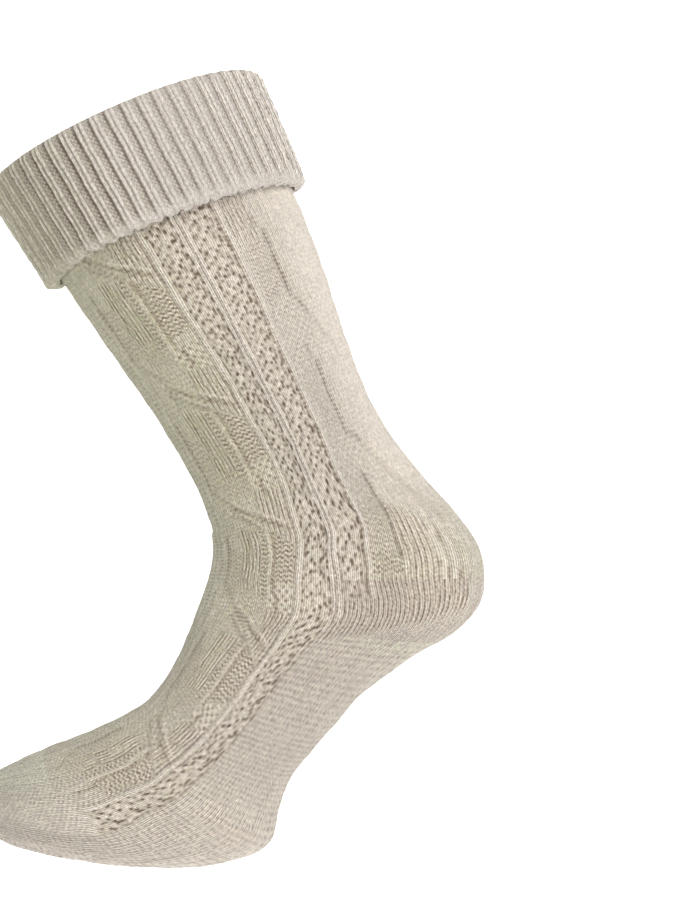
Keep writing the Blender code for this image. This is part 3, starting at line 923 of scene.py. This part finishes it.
@dataclass
class KnitGrid:
    """A wall of knitting: a fine grid on its shown side and a coarser one on its hidden side."""

    name: str
    shown: np.ndarray
    hidden: np.ndarray
    stitches: np.ndarray
    fabric: Fabric
    closed: bool
    sharp_angle: float = math.radians(70.0)
    merge_distance: float = 2e-6

    def build(self) -> bpy.types.Object:
        """Makes the wall as one closed mesh with its stitch map and fabric attribute.

        Returns:
            The new object, linked to the scene.
        """
        rows, columns = self.shown.shape[0] - 1, self.shown.shape[1] - 1
        flat = self.flat_wall(columns, rows)
        mesh = bpy.data.meshes.new(self.name)
        flat.to_mesh(mesh)
        flat.free()
        self.place(mesh, columns, rows)
        self.close(mesh)
        mesh.shade_smooth()
        mesh.set_sharp_from_angle(angle=self.sharp_angle)
        piece = bpy.data.objects.new(self.name, mesh)
        bpy.context.scene.collection.objects.link(piece)
        return piece

    def flat_wall(self, columns: int, rows: int) -> bmesh.types.BMesh:
        """The wall laid flat: the fine grid at height 0, the coarse one at -1, and rims between them.

        Args:
            columns: fine faces across.
            rows: fine faces down.

        Returns:
            The flat wall, one unit wide and one high.
        """
        bm = bmesh.new()
        bmesh.ops.create_grid(bm, x_segments=columns, y_segments=rows, size=0.5)
        bmesh.ops.create_grid(
            bm, x_segments=columns // STEPS, y_segments=rows // STEPS, size=0.5,
            matrix=Matrix.Translation((0.0, 0.0, -1.0)),
        )
        borders = [(1, -0.5), (1, 0.5)]
        if not self.closed:
            borders += [(0, -0.5), (0, 0.5)]
        edges = [edge for edge in bm.edges if edge.is_boundary]
        for axis, place in borders:
            rim = [
                edge for edge in edges
                if all(abs(vert.co[axis] - place) < NEAR for vert in edge.verts)
            ]
            bmesh.ops.bridge_loops(bm, edges=rim)
        return bm

    def place(self, mesh: bpy.types.Mesh, columns: int, rows: int) -> None:
        """Moves the flat wall to its place and writes its stitch map and fabric attribute.

        Args:
            mesh: the flat wall's mesh.
            columns: fine faces across.
            rows: fine faces down.
        """
        flat = np.zeros(len(mesh.vertices) * 3, np.float32)
        mesh.vertices.foreach_get("co", flat)
        flat = flat.reshape(-1, 3)
        column = np.rint((flat[:, 0] + 0.5) * columns).astype(int)
        row = np.rint((flat[:, 1] + 0.5) * rows).astype(int)
        on_top = flat[:, 2] > -0.5
        points = np.where(on_top[:, None], self.shown[row, column], self.hidden[row, column])
        mesh.vertices.foreach_set("co", points.astype(np.float32).ravel())
        corner = np.zeros(len(mesh.loops), np.int32)
        mesh.loops.foreach_get("vertex_index", corner)
        layer = mesh.uv_layers.new(name=STITCH_MAP)
        layer.data.foreach_set("uv", self.stitches[row, column][corner].astype(np.float32).ravel())
        fabric = self.fabric
        # Red: painted shade in the hollows; green: plain share, which sets the loop relief and the painted shade in
        # the gaps; blue: tone
        colours = np.stack([
            np.where(on_top, fabric.hollow_shade[row, column], 0.0),
            np.where(on_top, fabric.plain[row, column], 1.0),
            fabric.tone[row, column],
            np.ones(len(row)),
        ], axis=-1)
        attribute = mesh.color_attributes.new(name=FABRIC_MAP, type="FLOAT_COLOR", domain="POINT")
        attribute.data.foreach_set("color", colours.astype(np.float32).ravel())

    def close(self, mesh: bpy.types.Mesh) -> None:
        """Merges the seam and the pole, and turns the faces outwards.

        Args:
            mesh: the placed wall's mesh.
        """
        bm = bmesh.new()
        bm.from_mesh(mesh)
        bmesh.ops.remove_doubles(bm, verts=bm.verts, dist=self.merge_distance)
        bmesh.ops.recalc_face_normals(bm, faces=bm.faces)
        bm.to_mesh(mesh)
        bm.free()


@dataclass(frozen=True)
class Yarn:
    """A yarn finish: its colours at the front and back of the sock, the colour of the painted shade in its hollows
    and its roughness.
    """

    name: str
    slot: str
    front: tuple[float, float, float]
    back: tuple[float, float, float]
    hollow_shade: tuple[float, float, float]
    roughness: float = 0.92
    sheen: float = 0.30
    bump: float = 0.9

    def material(self, library: "YarnNodes") -> bpy.types.Material:
        """Makes the yarn's material from the shared node groups.

        Args:
            library: the shared node groups.

        Returns:
            The new material.
        """
        material = bpy.data.materials.new(self.name)
        material.use_nodes = True
        tree = material.node_tree
        shader = tree.nodes["Principled BSDF"]
        shader.inputs["Roughness"].default_value = self.roughness
        shader.inputs["Sheen Weight"].default_value = self.sheen
        shader.inputs["Sheen Roughness"].default_value = 0.6
        shader.inputs["Specular IOR Level"].default_value = 0.15
        stitch_map = tree.nodes.new("ShaderNodeUVMap")
        stitch_map.uv_map = STITCH_MAP
        fabric = tree.nodes.new("ShaderNodeAttribute")
        fabric.attribute_name = FABRIC_MAP
        parts = tree.nodes.new("ShaderNodeSeparateColor")
        tree.links.new(fabric.outputs["Color"], parts.inputs["Color"])
        place = tree.nodes.new("ShaderNodeTexCoord")
        relief = tree.nodes.new("ShaderNodeGroup")
        relief.node_tree = library.stitch_relief
        tree.links.new(stitch_map.outputs["UV"], relief.inputs["Stitches"])
        tree.links.new(parts.outputs["Green"], relief.inputs["Plain"])
        tree.links.new(place.outputs["Object"], relief.inputs["Place"])
        colour = tree.nodes.new("ShaderNodeGroup")
        colour.node_tree = library.yarn_colour
        for socket, value in (("Front", self.front), ("Back", self.back), ("Hollow Colour", self.hollow_shade)):
            colour.inputs[socket].default_value = (*value, 1.0)
        tree.links.new(parts.outputs["Red"], colour.inputs["Hollow"])
        tree.links.new(parts.outputs["Blue"], colour.inputs["Tone"])
        tree.links.new(relief.outputs["Gap"], colour.inputs["Gap"])
        tree.links.new(place.outputs["Object"], colour.inputs["Place"])
        tree.links.new(colour.outputs["Colour"], shader.inputs["Base Color"])
        bump = tree.nodes.new("ShaderNodeBump")
        bump.inputs["Strength"].default_value = self.bump
        bump.inputs["Distance"].default_value = 0.0012
        tree.links.new(relief.outputs["Height"], bump.inputs["Height"])
        tree.links.new(bump.outputs["Normal"], shader.inputs["Normal"])
        return material


class NodeSheet:
    """Writes arithmetic into a node group."""

    def __init__(self, name: str, inputs: tuple[tuple[str, str], ...], outputs: tuple[tuple[str, str], ...]):
        """Starts a node group.

        Args:
            name: the group's name.
            inputs: name and socket type of each input.
            outputs: name and socket type of each output.
        """
        self.tree = bpy.data.node_groups.new(name, "ShaderNodeTree")
        for label, kind in inputs:
            self.tree.interface.new_socket(name=label, in_out="INPUT", socket_type=kind)
        for label, kind in outputs:
            self.tree.interface.new_socket(name=label, in_out="OUTPUT", socket_type=kind)
        self.source = self.tree.nodes.new("NodeGroupInput")
        self.sink = self.tree.nodes.new("NodeGroupOutput")

    def feed(self, value: object, socket: bpy.types.NodeSocket) -> None:
        """Links a socket, or sets a number, on an input socket."""
        if isinstance(value, bpy.types.NodeSocket):
            self.tree.links.new(value, socket)
        else:
            socket.default_value = value

    def calc(self, operation: str, *values: object) -> bpy.types.NodeSocket:
        """One Math node.

        Args:
            operation: the node's operation.
            values: its inputs, as sockets or numbers.

        Returns:
            Its output socket.
        """
        node = self.tree.nodes.new("ShaderNodeMath")
        node.operation = operation
        for value, socket in zip(values, node.inputs):
            self.feed(value, socket)
        return node.outputs[0]

    def mix(self, share: object, first: object, second: object, kind: str = "MIX") -> bpy.types.NodeSocket:
        """One Mix node for colours.

        Args:
            share: how much of the second colour is taken.
            first: the first colour.
            second: the second colour.
            kind: the blend type.

        Returns:
            Its output socket.
        """
        node = self.tree.nodes.new("ShaderNodeMix")
        node.data_type = "RGBA"
        node.blend_type = kind
        self.feed(share, node.inputs[0])
        self.feed(first, node.inputs[6])
        self.feed(second, node.inputs[7])
        return node.outputs[2]

    def noise(self, place: bpy.types.NodeSocket, scale: float, detail: float = 2.0) -> bpy.types.NodeSocket:
        """A noise field over a place vector, from 0 to 1."""
        node = self.tree.nodes.new("ShaderNodeTexNoise")
        node.inputs["Scale"].default_value = scale
        node.inputs["Detail"].default_value = detail
        self.tree.links.new(place, node.inputs["Vector"])
        return node.outputs["Fac"]

    def give(self, label: str, value: bpy.types.NodeSocket) -> None:
        """Links a value to one of the group's outputs."""
        self.tree.links.new(value, self.sink.inputs[label])


@dataclass
class YarnNodes:
    """The node groups that all yarn finishes share."""

    leg_slope: float = 0.9
    even_gap: float = 0.27
    fibre_scale: float = 2600.0
    heather_scale: float = 760.0
    patch_scale: float = 28.0
    stitch_relief: bpy.types.NodeTree = field(init=False)
    yarn_colour: bpy.types.NodeTree = field(init=False)

    def __post_init__(self) -> None:
        """Builds both groups."""
        self.stitch_relief = self.build_relief()
        self.yarn_colour = self.build_colour()

    def build_relief(self) -> bpy.types.NodeTree:
        """Height of the yarn loops and the painted shade in the gaps between them, from the stitch map."""
        sheet = NodeSheet(
            "stitch relief",
            (("Stitches", "NodeSocketVector"), ("Plain", "NodeSocketFloat"), ("Place", "NodeSocketVector")),
            (("Height", "NodeSocketFloat"), ("Gap", "NodeSocketFloat")),
        )
        split = sheet.tree.nodes.new("ShaderNodeSeparateXYZ")
        sheet.tree.links.new(sheet.source.outputs["Stitches"], split.inputs[0])
        across, down = split.outputs["X"], split.outputs["Y"]
        middle = sheet.calc("ABSOLUTE", sheet.calc("SUBTRACT", sheet.calc("FRACT", across), 0.5))
        slant = sheet.calc("FRACT", sheet.calc("SUBTRACT", down, sheet.calc("MULTIPLY", middle, self.leg_slope)))
        strand = sheet.calc("SINE", sheet.calc("MULTIPLY", slant, math.pi))
        leg = sheet.calc("MULTIPLY", sheet.calc("ABSOLUTE", sheet.calc("SUBTRACT", middle, 0.25)), 4.0)
        leg = sheet.calc("SUBTRACT", 1.0, sheet.calc("MULTIPLY", leg, leg))
        loop = sheet.calc("MULTIPLY", leg, sheet.calc("MULTIPLY_ADD", strand, 0.45, 0.55))
        share = sheet.source.outputs["Plain"]
        fibres = sheet.noise(sheet.source.outputs["Place"], self.fibre_scale, 3.0)
        sheet.give("Height", sheet.calc("MULTIPLY_ADD", fibres, 0.5, sheet.calc("MULTIPLY", loop, share)))
        between = sheet.calc("SUBTRACT", 1.0, leg)
        gap = sheet.calc("MULTIPLY", between, sheet.calc("MULTIPLY_ADD", strand, -0.85, 1.35))
        sheet.give("Gap", sheet.calc("MULTIPLY", sheet.calc("SUBTRACT", gap, self.even_gap), share))
        return sheet.tree

    def build_colour(self) -> bpy.types.NodeTree:
        """Colour of the yarn: tone from front to back, heathered flecks, and painted shade in the gaps and hollows.
        """
        sheet = NodeSheet(
            "yarn colour",
            (("Front", "NodeSocketColor"), ("Back", "NodeSocketColor"), ("Hollow Colour", "NodeSocketColor"),
             ("Hollow", "NodeSocketFloat"), ("Tone", "NodeSocketFloat"), ("Gap", "NodeSocketFloat"),
             ("Place", "NodeSocketVector")),
            (("Colour", "NodeSocketColor"),),
        )
        source = sheet.source.outputs
        base = sheet.mix(source["Tone"], source["Front"], source["Back"])
        fleck = sheet.noise(source["Place"], self.heather_scale, 3.0)
        patch = sheet.noise(source["Place"], self.patch_scale, 2.0)
        light = sheet.calc("ADD", sheet.calc("MULTIPLY_ADD", fleck, 1.10, 0.40), sheet.calc("MULTIPLY", patch, 0.10))
        # Painted shade in the gaps between the loops, tinted brown
        shade = sheet.tree.nodes.new("ShaderNodeCombineColor")
        for name, pull in (("Red", -0.76), ("Green", -0.86), ("Blue", -0.98)):
            dimmed = sheet.calc("MULTIPLY", light, sheet.calc("MULTIPLY_ADD", source["Gap"], pull, 1.0))
            sheet.tree.links.new(dimmed, shade.inputs[name])
        yarn = sheet.mix(1.0, base, shade.outputs[0], "MULTIPLY")
        # Painted shade in the hollows, in the yarn's hollow colour
        dark = sheet.calc("MULTIPLY", source["Hollow"], 0.92)
        sheet.give("Colour", sheet.mix(dark, yarn, source["Hollow Colour"]))
        return sheet.tree


# Front and back colours are the yarn's tones with painted light: the leg's front, turned from the key light, is
# darker with painted shade, and the toe's top is lighter with painted light from above. Each hollow colour is the
# colour of painted shade.
OATMEAL = Yarn(
    name="oatmeal yarn", slot="oatmeal_knit",
    front=(0.52, 0.49, 0.33), back=(0.76, 0.675, 0.578), hollow_shade=(0.165, 0.100, 0.045),
)
PALE_OATMEAL = Yarn(
    name="pale oatmeal yarn", slot="oatmeal_knit",
    front=(0.53, 0.50, 0.34), back=(0.89, 0.81, 0.72), hollow_shade=(0.165, 0.100, 0.045),
)
CREAM = Yarn(
    name="cream yarn", slot="cream_knit",
    front=(0.615, 0.54, 0.44), back=(0.655, 0.572, 0.483), hollow_shade=(0.165, 0.105, 0.055),
)
GREY_BEIGE = Yarn(
    name="grey beige yarn", slot="grey_beige_knit",
    front=(0.74, 0.73, 0.54), back=(0.67, 0.59, 0.50), hollow_shade=(0.20, 0.135, 0.075),
)


@dataclass(kw_only=True)
class KnitPiece:
    """One sub-assembly of the sock: a wall of knitting over a stretch of the form."""

    name: str
    node: str
    yarn: Yarn
    form: SockForm
    chart: StitchChart
    first_row: float
    last_row: float
    first_wale: float = -HALF_WALES
    last_wale: float = HALF_WALES

    def table_rows(self) -> np.ndarray:
        """Table rows of the grid, three to a course."""
        first, last = self.form.course_of(np.array([self.first_row, self.last_row]))
        steps = round(last - first) * STEPS
        return self.form.row_of_course(np.linspace(first, last, steps + 1))

    def wales(self) -> np.ndarray:
        """Wales of the grid's columns."""
        half = np.concatenate([np.linspace(*stretch, endpoint=False) for stretch in COLUMNS] + [[HALF_WALES]])
        around = np.concatenate([-half[::-1], half[1:], 2 * HALF_WALES - half[-2::-1]])
        return around[(around > self.first_wale - NEAR) & (around < self.last_wale + NEAR)]

    def placed(self, wales: np.ndarray, rows: np.ndarray) -> np.ndarray:
        """Where the columns lie on the form in each row, as they stray with the stitch lines."""
        side = np.sign(wales) * np.where(np.abs(wales) > HALF_WALES, -1.0, 1.0)
        count = from_front(wales)
        return np.array([wales + side * stray(count, course) for course in self.form.course_of(rows)])

    def own_share(self, count: np.ndarray, rows: np.ndarray) -> np.ndarray:
        """How far the knit rows are counted along each wale itself. Most pieces don't."""
        return np.zeros_like(count)

    def relief(self, fabric: Fabric, rows: np.ndarray, count: np.ndarray) -> np.ndarray:
        """Height of the fabric over the form. The plain piece takes the chart's."""
        return fabric.relief

    def build(self) -> bpy.types.Object:
        """Makes the piece's mesh.

        Returns:
            The new object.
        """
        rows = self.table_rows()
        wales = self.wales()
        points, normals = self.form.sheet(rows, self.placed(wales, rows))
        course, wale = np.meshgrid(self.form.course_of(rows), wales, indexing="ij")
        count = from_front(wale)
        share = self.own_share(count, rows[:, None])
        own = self.form.own_courses(rows, from_front(wales))
        down = self.chart.rows_down(count, course) * (1 - share) + own * share
        fabric = self.chart.fabric(count, course, down)
        shown = points + normals * self.relief(fabric, rows, count)[:, :, None]
        hidden = points - normals * self.form.wall
        closed = self.last_wale - self.first_wale > 2 * HALF_WALES - 1
        stitches = np.stack([wale / self.chart.loop_width + 0.5, down / self.chart.loop_height], axis=-1)
        return KnitGrid(self.name, shown, hidden, stitches, fabric, closed).build()

    def dress(self, library: YarnNodes) -> bpy.types.Object:
        """Builds the piece, gives it its yarn, ties it to the body and hides the solid of the node that it stands
        for.

        Args:
            library: the shared node groups.

        Returns:
            The finished object.
        """
        piece = self.build()
        material = bpy.data.materials.get(self.yarn.name) or self.yarn.material(library)
        piece.data.materials.append(material)
        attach(piece, BODY)
        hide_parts(self.node)
        return piece


@dataclass(kw_only=True)
class LegTube(KnitPiece):
    """A stretch of the leg's tube. At the back, near the heel, its knit rows follow the wales."""

    own_wales: tuple[float, float] = (42.0, 56.0)
    own_rows: tuple[float, float] = (4.5, 7.0)

    def own_share(self, count: np.ndarray, rows: np.ndarray) -> np.ndarray:
        """Grows towards the back of the heel."""
        return ease(count, *self.own_wales) * ease(rows, *self.own_rows)


@dataclass(kw_only=True)
class Heel(KnitPiece):
    """The ribbed heel pocket."""

    steps: int = 60

    def table_rows(self) -> np.ndarray:
        """Even steps from the heel line to the gore."""
        return np.linspace(self.first_row, self.last_row, self.steps + 1)

    def wales(self) -> np.ndarray:
        """Three even columns to a wale."""
        steps = round((self.last_wale - self.first_wale) * STEPS)
        return np.linspace(self.first_wale, self.last_wale, steps + 1)

    def own_share(self, count: np.ndarray, rows: np.ndarray) -> np.ndarray:
        """Grows from the sides of the pocket."""
        return ease(count, SIDE_WALE, 46.0) + 0.0 * rows


@dataclass(kw_only=True)
class Toe(KnitPiece):
    """The plain toe cap, gathered along its lower edge."""

    gathers: int = 10
    gather_rise: float = 0.0006
    smooth_from: float = 0.85

    def relief(self, fabric: Fabric, rows: np.ndarray, count: np.ndarray) -> np.ndarray:
        """The chart's relief, dying away at the tip, with the gathers added under the foot."""
        share = ((rows - self.first_row) / (self.last_row - self.first_row))[:, None]
        fade = np.sin(math.pi * np.clip(share, 0.0, 1.0))
        under = np.clip(2 * (count - SIDE_WALE) / (HALF_WALES - SIDE_WALE), 0.0, 1.0)
        folds = np.cos(count * math.pi * self.gathers / SIDE_WALE)
        return fabric.relief * ease(share, 1.0, self.smooth_from) + self.gather_rise * fade * under * folds


@dataclass(frozen=True)
class RibLine:
    """One line of the cuff's rib: its place in the rib, its width, its rise in metres and its painted shade."""

    place: float
    width: float
    rise: float
    dark: float
    dotted: float = 0.0
    offset: float = 0.0


# Two knit wales with a groove between them, two purl wales with dots, and the deep line beside the next rib
RIB_LINES = (
    RibLine(0.02, 0.110, 0.00125, 0.0),
    RibLine(0.17, 0.040, -0.00030, 0.75, 0.3),
    RibLine(0.32, 0.110, 0.00110, 0.0),
    RibLine(0.47, 0.045, -0.00015, 0.55, 0.6),
    RibLine(0.59, 0.055, 0.0, 0.70, 1.0, 0.5),
    RibLine(0.72, 0.055, 0.0, 0.80, 1.0),
    RibLine(0.85, 0.080, -0.00070, 1.0, 0.45, 0.5),
)


@dataclass(kw_only=True)
class Cuff(KnitPiece):
    """The turned-down cuff: inner layer, fold over the opening, ribbed outer layer and rolled welt."""

    drop: float = 0.0535
    tuck: float = 0.0270
    arch: float = 0.0055
    arch_power: float = 0.7
    cuff_wall: float = 0.0030
    clearance: float = 0.0016
    flare: float = 0.0014
    ribs: int = 50
    course: float = 0.0022
    welt_rise: float = 0.0011
    side_welt: float = 0.25
    welt_height: float = 0.0062
    rib_fade: float = 0.0040
    welt_ribs: float = 0.42
    hem_wave: float = 0.0006
    rib_columns: int = 15
    inner_steps: int = 6
    fold_steps: int = 12
    outer_steps: int = 78
    welt_steps: int = 12
    sheet_rows: int = 160

    def wales(self) -> np.ndarray:
        """Fifteen columns a rib, all round."""
        return np.linspace(-HALF_WALES, HALF_WALES, self.ribs * self.rib_columns + 1)

    def edge_dip(self, wales: np.ndarray) -> np.ndarray:
        """How far the cuff's edges lie below the opening at each wale."""
        arch = np.hypot(np.sin(math.pi * from_front(wales) / HALF_WALES), 0.1) / math.hypot(1.0, 0.1)
        return self.arch * (1 - arch**self.arch_power)

    def kept(self, below: float) -> float:
        """The share of the ribs that is left at a drop below the welt's upper edge."""
        return self.welt_ribs + (1 - self.welt_ribs) * float(ease(below, self.rib_fade, -self.rib_fade / 2))

    def path(self) -> dict[str, np.ndarray]:
        """The cuff's cross-section, from the inner layer's lower edge over the fold to the hem.

        Returns:
            By name: drop and lift of the shown side, drop and lift of the hidden side, the share of the
            ribs that each row keeps, its share of the edge dip and its share of the welt's swell.
        """
        outer = self.clearance + self.cuff_wall
        radius = (outer + self.form.wall) / 2
        centre = (outer - self.form.wall) / 2
        gap = self.clearance / 2
        plain_end = self.drop - self.welt_height
        rows = []
        for share in np.linspace(0.0, 1.0, self.inner_steps, endpoint=False):
            drop = self.tuck + (radius - self.tuck) * share
            rows.append((drop, -self.form.wall, drop, 0.0, 0.0, min(1.0, share * 4), 0.0))
        for turn in np.linspace(0.0, math.pi, self.fold_steps, endpoint=False):
            sine, cosine = math.sin(turn), math.cos(turn)
            keep = float(ease(turn, 0.3, 1.6))
            rows.append((radius * (1 - sine), centre - radius * cosine,
                         radius - gap * sine, gap - gap * cosine, keep, 1.0, 0.0))
        for share in np.linspace(0.0, 1.0, self.outer_steps, endpoint=False):
            drop = radius + (plain_end - radius) * share
            lift = self.flare * share
            keep = self.kept(drop - plain_end)
            rows.append((drop, outer + lift, drop, self.clearance + lift, keep, 1.0, 0.0))
        for share in np.linspace(0.0, 1.0, self.welt_steps + 1):
            drop = plain_end + self.welt_height * (1 - (1 - share) ** 1.5)
            turned = float(ease(share, 0.55, 1.0))
            lift = outer + self.flare - 0.8 * self.cuff_wall * turned
            keep = self.kept(drop - plain_end) * (1 - turned)
            inner = self.clearance + self.flare * (1 - 1.3 * share)
            swell = math.sin(math.pi * min(1.0, share * 1.05)) ** 0.8 * (1 - turned)
            rows.append((drop, lift, plain_end + self.welt_height * share, inner, keep, 1.0, swell))
        names = ("drop", "lift", "hidden_drop", "hidden_lift", "keep", "follow", "swell")
        return {name: np.array(column) for name, column in zip(names, zip(*rows))}

    def build(self) -> bpy.types.Object:
        """Makes the cuff's mesh.

        Returns:
            The new object.
        """
        wales = self.wales()
        path = self.path()
        lowest = float(self.form.row_of_drop(self.drop + self.arch)) + 0.1
        rows = np.linspace(0.0, lowest, self.sheet_rows)
        points, normals = self.form.sheet(rows, np.repeat(wales[None, :], len(rows), axis=0))
        dip = self.edge_dip(wales)[None, :] * path["follow"][:, None]
        count = from_front(wales)
        wave = self.hem_wave * (HEM_QUICK.at(count, 0.0) + crossed(HEM, count, 0.0))
        dip = dip + wave[None, :] * np.clip(path["drop"] / self.drop, 0.0, 1.0)[:, None] ** 8
        front = self.side_welt + (1 - self.side_welt) * ease(count, 26.0, 6.0)
        swell = self.welt_rise * path["swell"][:, None] * front[None, :]
        fabric, stitches = self.rib_fabric(wales, path)
        lift = path["lift"][:, None] + fabric.relief + swell
        shown = self.lay(points, normals, rows, path["drop"][:, None] + dip, lift)
        level = np.repeat(path["hidden_lift"][:, None], len(wales), axis=1)
        hidden = self.lay(points, normals, rows, path["hidden_drop"][:, None] + dip, level)
        return KnitGrid(self.name, shown, hidden, stitches, fabric, True).build()

    def lay(self, points: np.ndarray, normals: np.ndarray, rows: np.ndarray, drops: np.ndarray,
            lifts: np.ndarray) -> np.ndarray:
        """Points at given drops and lifts, between the rows of a sheet.

        Args:
            points: the sheet's points.
            normals: the sheet's normals.
            rows: the sheet's table rows.
            drops: drop below the opening of each wanted point.
            lifts: height over the form of each wanted point.

        Returns:
            The points, of the same shape as drops, with three coordinates each.
        """
        place = (self.form.row_of_drop(drops) - rows[0]) / (rows[1] - rows[0])
        lower = np.clip(np.floor(place).astype(int), 0, len(rows) - 2)
        share = (place - lower)[:, :, None]
        column = np.arange(points.shape[1])[None, :]
        base = points[lower, column] * (1 - share) + points[lower + 1, column] * share
        normal = normals[lower, column] * (1 - share) + normals[lower + 1, column] * share
        return base + normal * lifts[:, :, None]

    def rib_fabric(self, wales: np.ndarray, path: dict[str, np.ndarray]) -> tuple[Fabric, np.ndarray]:
        """The cuff's ribs and their stitch map.

        Args:
            wales: the cuff's columns.
            path: the cuff's cross-section.

        Returns:
            The fabric and the stitch map.
        """
        rib = (wales + HALF_WALES) / (2 * HALF_WALES) * self.ribs
        step = np.hypot(np.diff(path["drop"]), np.diff(path["lift"]))
        down = np.concatenate([[0.0], np.cumsum(step)]) / self.course
        place, below = np.meshgrid(rib, down)
        chance = self.chart.uneven.chance(place * 7, below)
        across = place + 0.12 * self.chart.uneven.sway(place, below)
        relief = np.zeros_like(across)
        hollow_shade = np.zeros_like(across)
        for line in RIB_LINES:
            aside = (across - line.place + 0.5) % 1.0 - 0.5
            near = np.exp(-((aside / line.width) ** 2))
            dots = dotted(line.dotted / 2, below + line.offset)
            relief = relief + line.rise * near
            hollow_shade = hollow_shade + line.dark * near * dots
        keep = path["keep"][:, None]
        count = from_front(wales)[None, :]
        # Tone: painted shade towards the front, painted highlight on raised ribs, random tone per stitch, lighter
        # where the ribs fade
        tone = ease(count, 4.0, 42.0) + 0.50 * (chance - 0.5) + 170.0 * relief * keep + 0.15 * (1 - keep)
        # Painted shade in the rib grooves, deeper towards the front, which is turned from the key light
        depth = 2.0 - 1.15 * ease(count, 8.0, 50.0)
        hollow_shade = np.clip(hollow_shade * (0.7 + 0.6 * chance) * depth, 0.0, 1.0) * keep
        relief = relief * keep + 2 * self.chart.rough * (chance - 0.5)
        return Fabric(relief, hollow_shade, np.full_like(relief, 0.8), tone), np.stack([place * 7, below], axis=-1)


@dataclass
class Studio:
    """Pale floor and backdrop, soft light, and the camera at the photograph's angle."""

    camera_x: float = 0.10321
    camera_z: float = -0.15269
    distance: float = 1.13
    frame_height: float = 0.4186
    floor_z: float = -0.47
    half_width: float = 4.0
    depth: float = 3.0

    def build(self) -> None:
        """Sets up the whole studio."""
        self.floor()
        self.light()
        self.camera()

    def floor(self) -> None:
        """A floor that turns up into a backdrop in one sweep."""
        bm = bmesh.new()
        bmesh.ops.create_grid(bm, x_segments=1, y_segments=48, size=1.0)
        for vert in bm.verts:
            run = (vert.co.y + 1) / 2 * 6.0
            bend = min(max(run - 4.0, 0.0), 1.0) * math.pi / 2
            rise = max(run - 5.0, 0.0)
            y = -self.depth + min(run, 4.0) + math.sin(bend) * 0.8
            z = self.floor_z + (1 - math.cos(bend)) * 0.8 + rise * 3.0
            vert.co = (vert.co.x * self.half_width, y, z)
        mesh = bpy.data.meshes.new("floor")
        bm.to_mesh(mesh)
        bm.free()
        mesh.shade_smooth()
        floor = bpy.data.objects.new("floor", mesh)
        bpy.context.scene.collection.objects.link(floor)
        material = bpy.data.materials.new("floor paper")
        material.use_nodes = True
        shader = material.node_tree.nodes["Principled BSDF"]
        shader.inputs["Base Color"].default_value = (0.93, 0.93, 0.93, 1.0)
        shader.inputs["Roughness"].default_value = 0.95
        shader.inputs["Emission Color"].default_value = (1.0, 1.0, 1.0, 1.0)
        shader.inputs["Emission Strength"].default_value = 0.55
        mesh.materials.append(material)

    def light(self) -> None:
        """A white surround, a large soft key from the upper right and a weaker fill from the left."""
        world = bpy.data.worlds.new("studio")
        world.use_nodes = True
        world.node_tree.nodes["Background"].inputs["Color"].default_value = (1.0, 1.0, 1.0, 1.0)
        world.node_tree.nodes["Background"].inputs["Strength"].default_value = 0.52
        bpy.context.scene.world = world
        self.area("key", (1.3, -1.45, 1.35), 0.9, 33.0)
        self.area("fill", (-1.1, -0.9, 1.4), 1.2, 15.0)

    def area(self, name: str, place: tuple[float, float, float], size: float, power: float) -> None:
        """One square area light that looks at the sock's middle.

        Args:
            name: the light's name.
            place: where it stands.
            size: its side.
            power: its power in watts.
        """
        lamp = bpy.data.lights.new(name, "AREA")
        lamp.size = size
        lamp.energy = power
        holder = bpy.data.objects.new(name, lamp)
        bpy.context.scene.collection.objects.link(holder)
        target = np.array([0.05, 0.0, -0.16])
        direction = target - np.array(place)
        aim = Vector(direction).to_track_quat("-Z", "Y")
        holder.location = place
        holder.rotation_mode = "QUATERNION"
        holder.rotation_quaternion = aim

    def camera(self) -> None:
        """A level camera square to the sock's side."""
        lens = bpy.data.cameras.new("camera")
        lens.sensor_fit = "VERTICAL"
        lens.sensor_height = 24.0
        lens.lens = lens.sensor_height * self.distance / self.frame_height
        lens.clip_start = 0.05
        camera = bpy.data.objects.new("camera", lens)
        camera.location = (self.camera_x, -self.distance, self.camera_z)
        camera.rotation_euler = (math.pi / 2, 0.0, 0.0)
        bpy.context.scene.collection.objects.link(camera)
        bpy.context.scene.camera = camera


def main() -> None:
    """Builds the sock piece by piece, then the studio round it."""
    logging.basicConfig(level=logging.INFO, format="%(name)s: %(message)s")
    bpy.context.scene.view_settings.view_transform = "Standard"
    form = SockForm()
    chart = StitchChart()
    library = YarnNodes()
    knit = {"form": form, "chart": chart}
    tuck_row = float(form.row_of_drop(Cuff.tuck))
    joint_row = float(form.row_of_course(JOINT_COURSE))
    side = {"first_wale": -SIDE_WALE, "last_wale": SIDE_WALE}
    back = {"first_wale": SIDE_WALE, "last_wale": 2 * HALF_WALES - SIDE_WALE}
    pieces = (
        Cuff(name="cuff_turndown", node="cuff", yarn=PALE_OATMEAL, first_row=0.0, last_row=tuck_row, **knit),
        LegTube(name="leg_shaft", node="leg", yarn=OATMEAL, first_row=tuck_row, last_row=joint_row, **knit),
        LegTube(name="leg_ankle", node="leg", yarn=OATMEAL, first_row=joint_row, last_row=HEEL_ROW, **knit),
        KnitPiece(name="instep_panel", node="instep", yarn=OATMEAL, first_row=HEEL_ROW, last_row=TOE_ROW,
                  **side, **knit),
        Heel(name="heel_pocket", node="heel", yarn=CREAM, first_row=HEEL_ROW, last_row=GORE_ROW, **back, **knit),
        KnitPiece(name="sole_panel", node="sole", yarn=GREY_BEIGE, first_row=GORE_ROW, last_row=TOE_ROW,
                  **back, **knit),
        Toe(name="toe_cap", node="toe", yarn=GREY_BEIGE, first_row=TOE_ROW, last_row=form.last_row, **knit),
    )
    for piece in pieces:
        made = piece.dress(library)
        LOG.info("%s: %d faces", made.name, len(made.data.polygons))
    Studio().build()


if __name__ == "__main__":
    main()
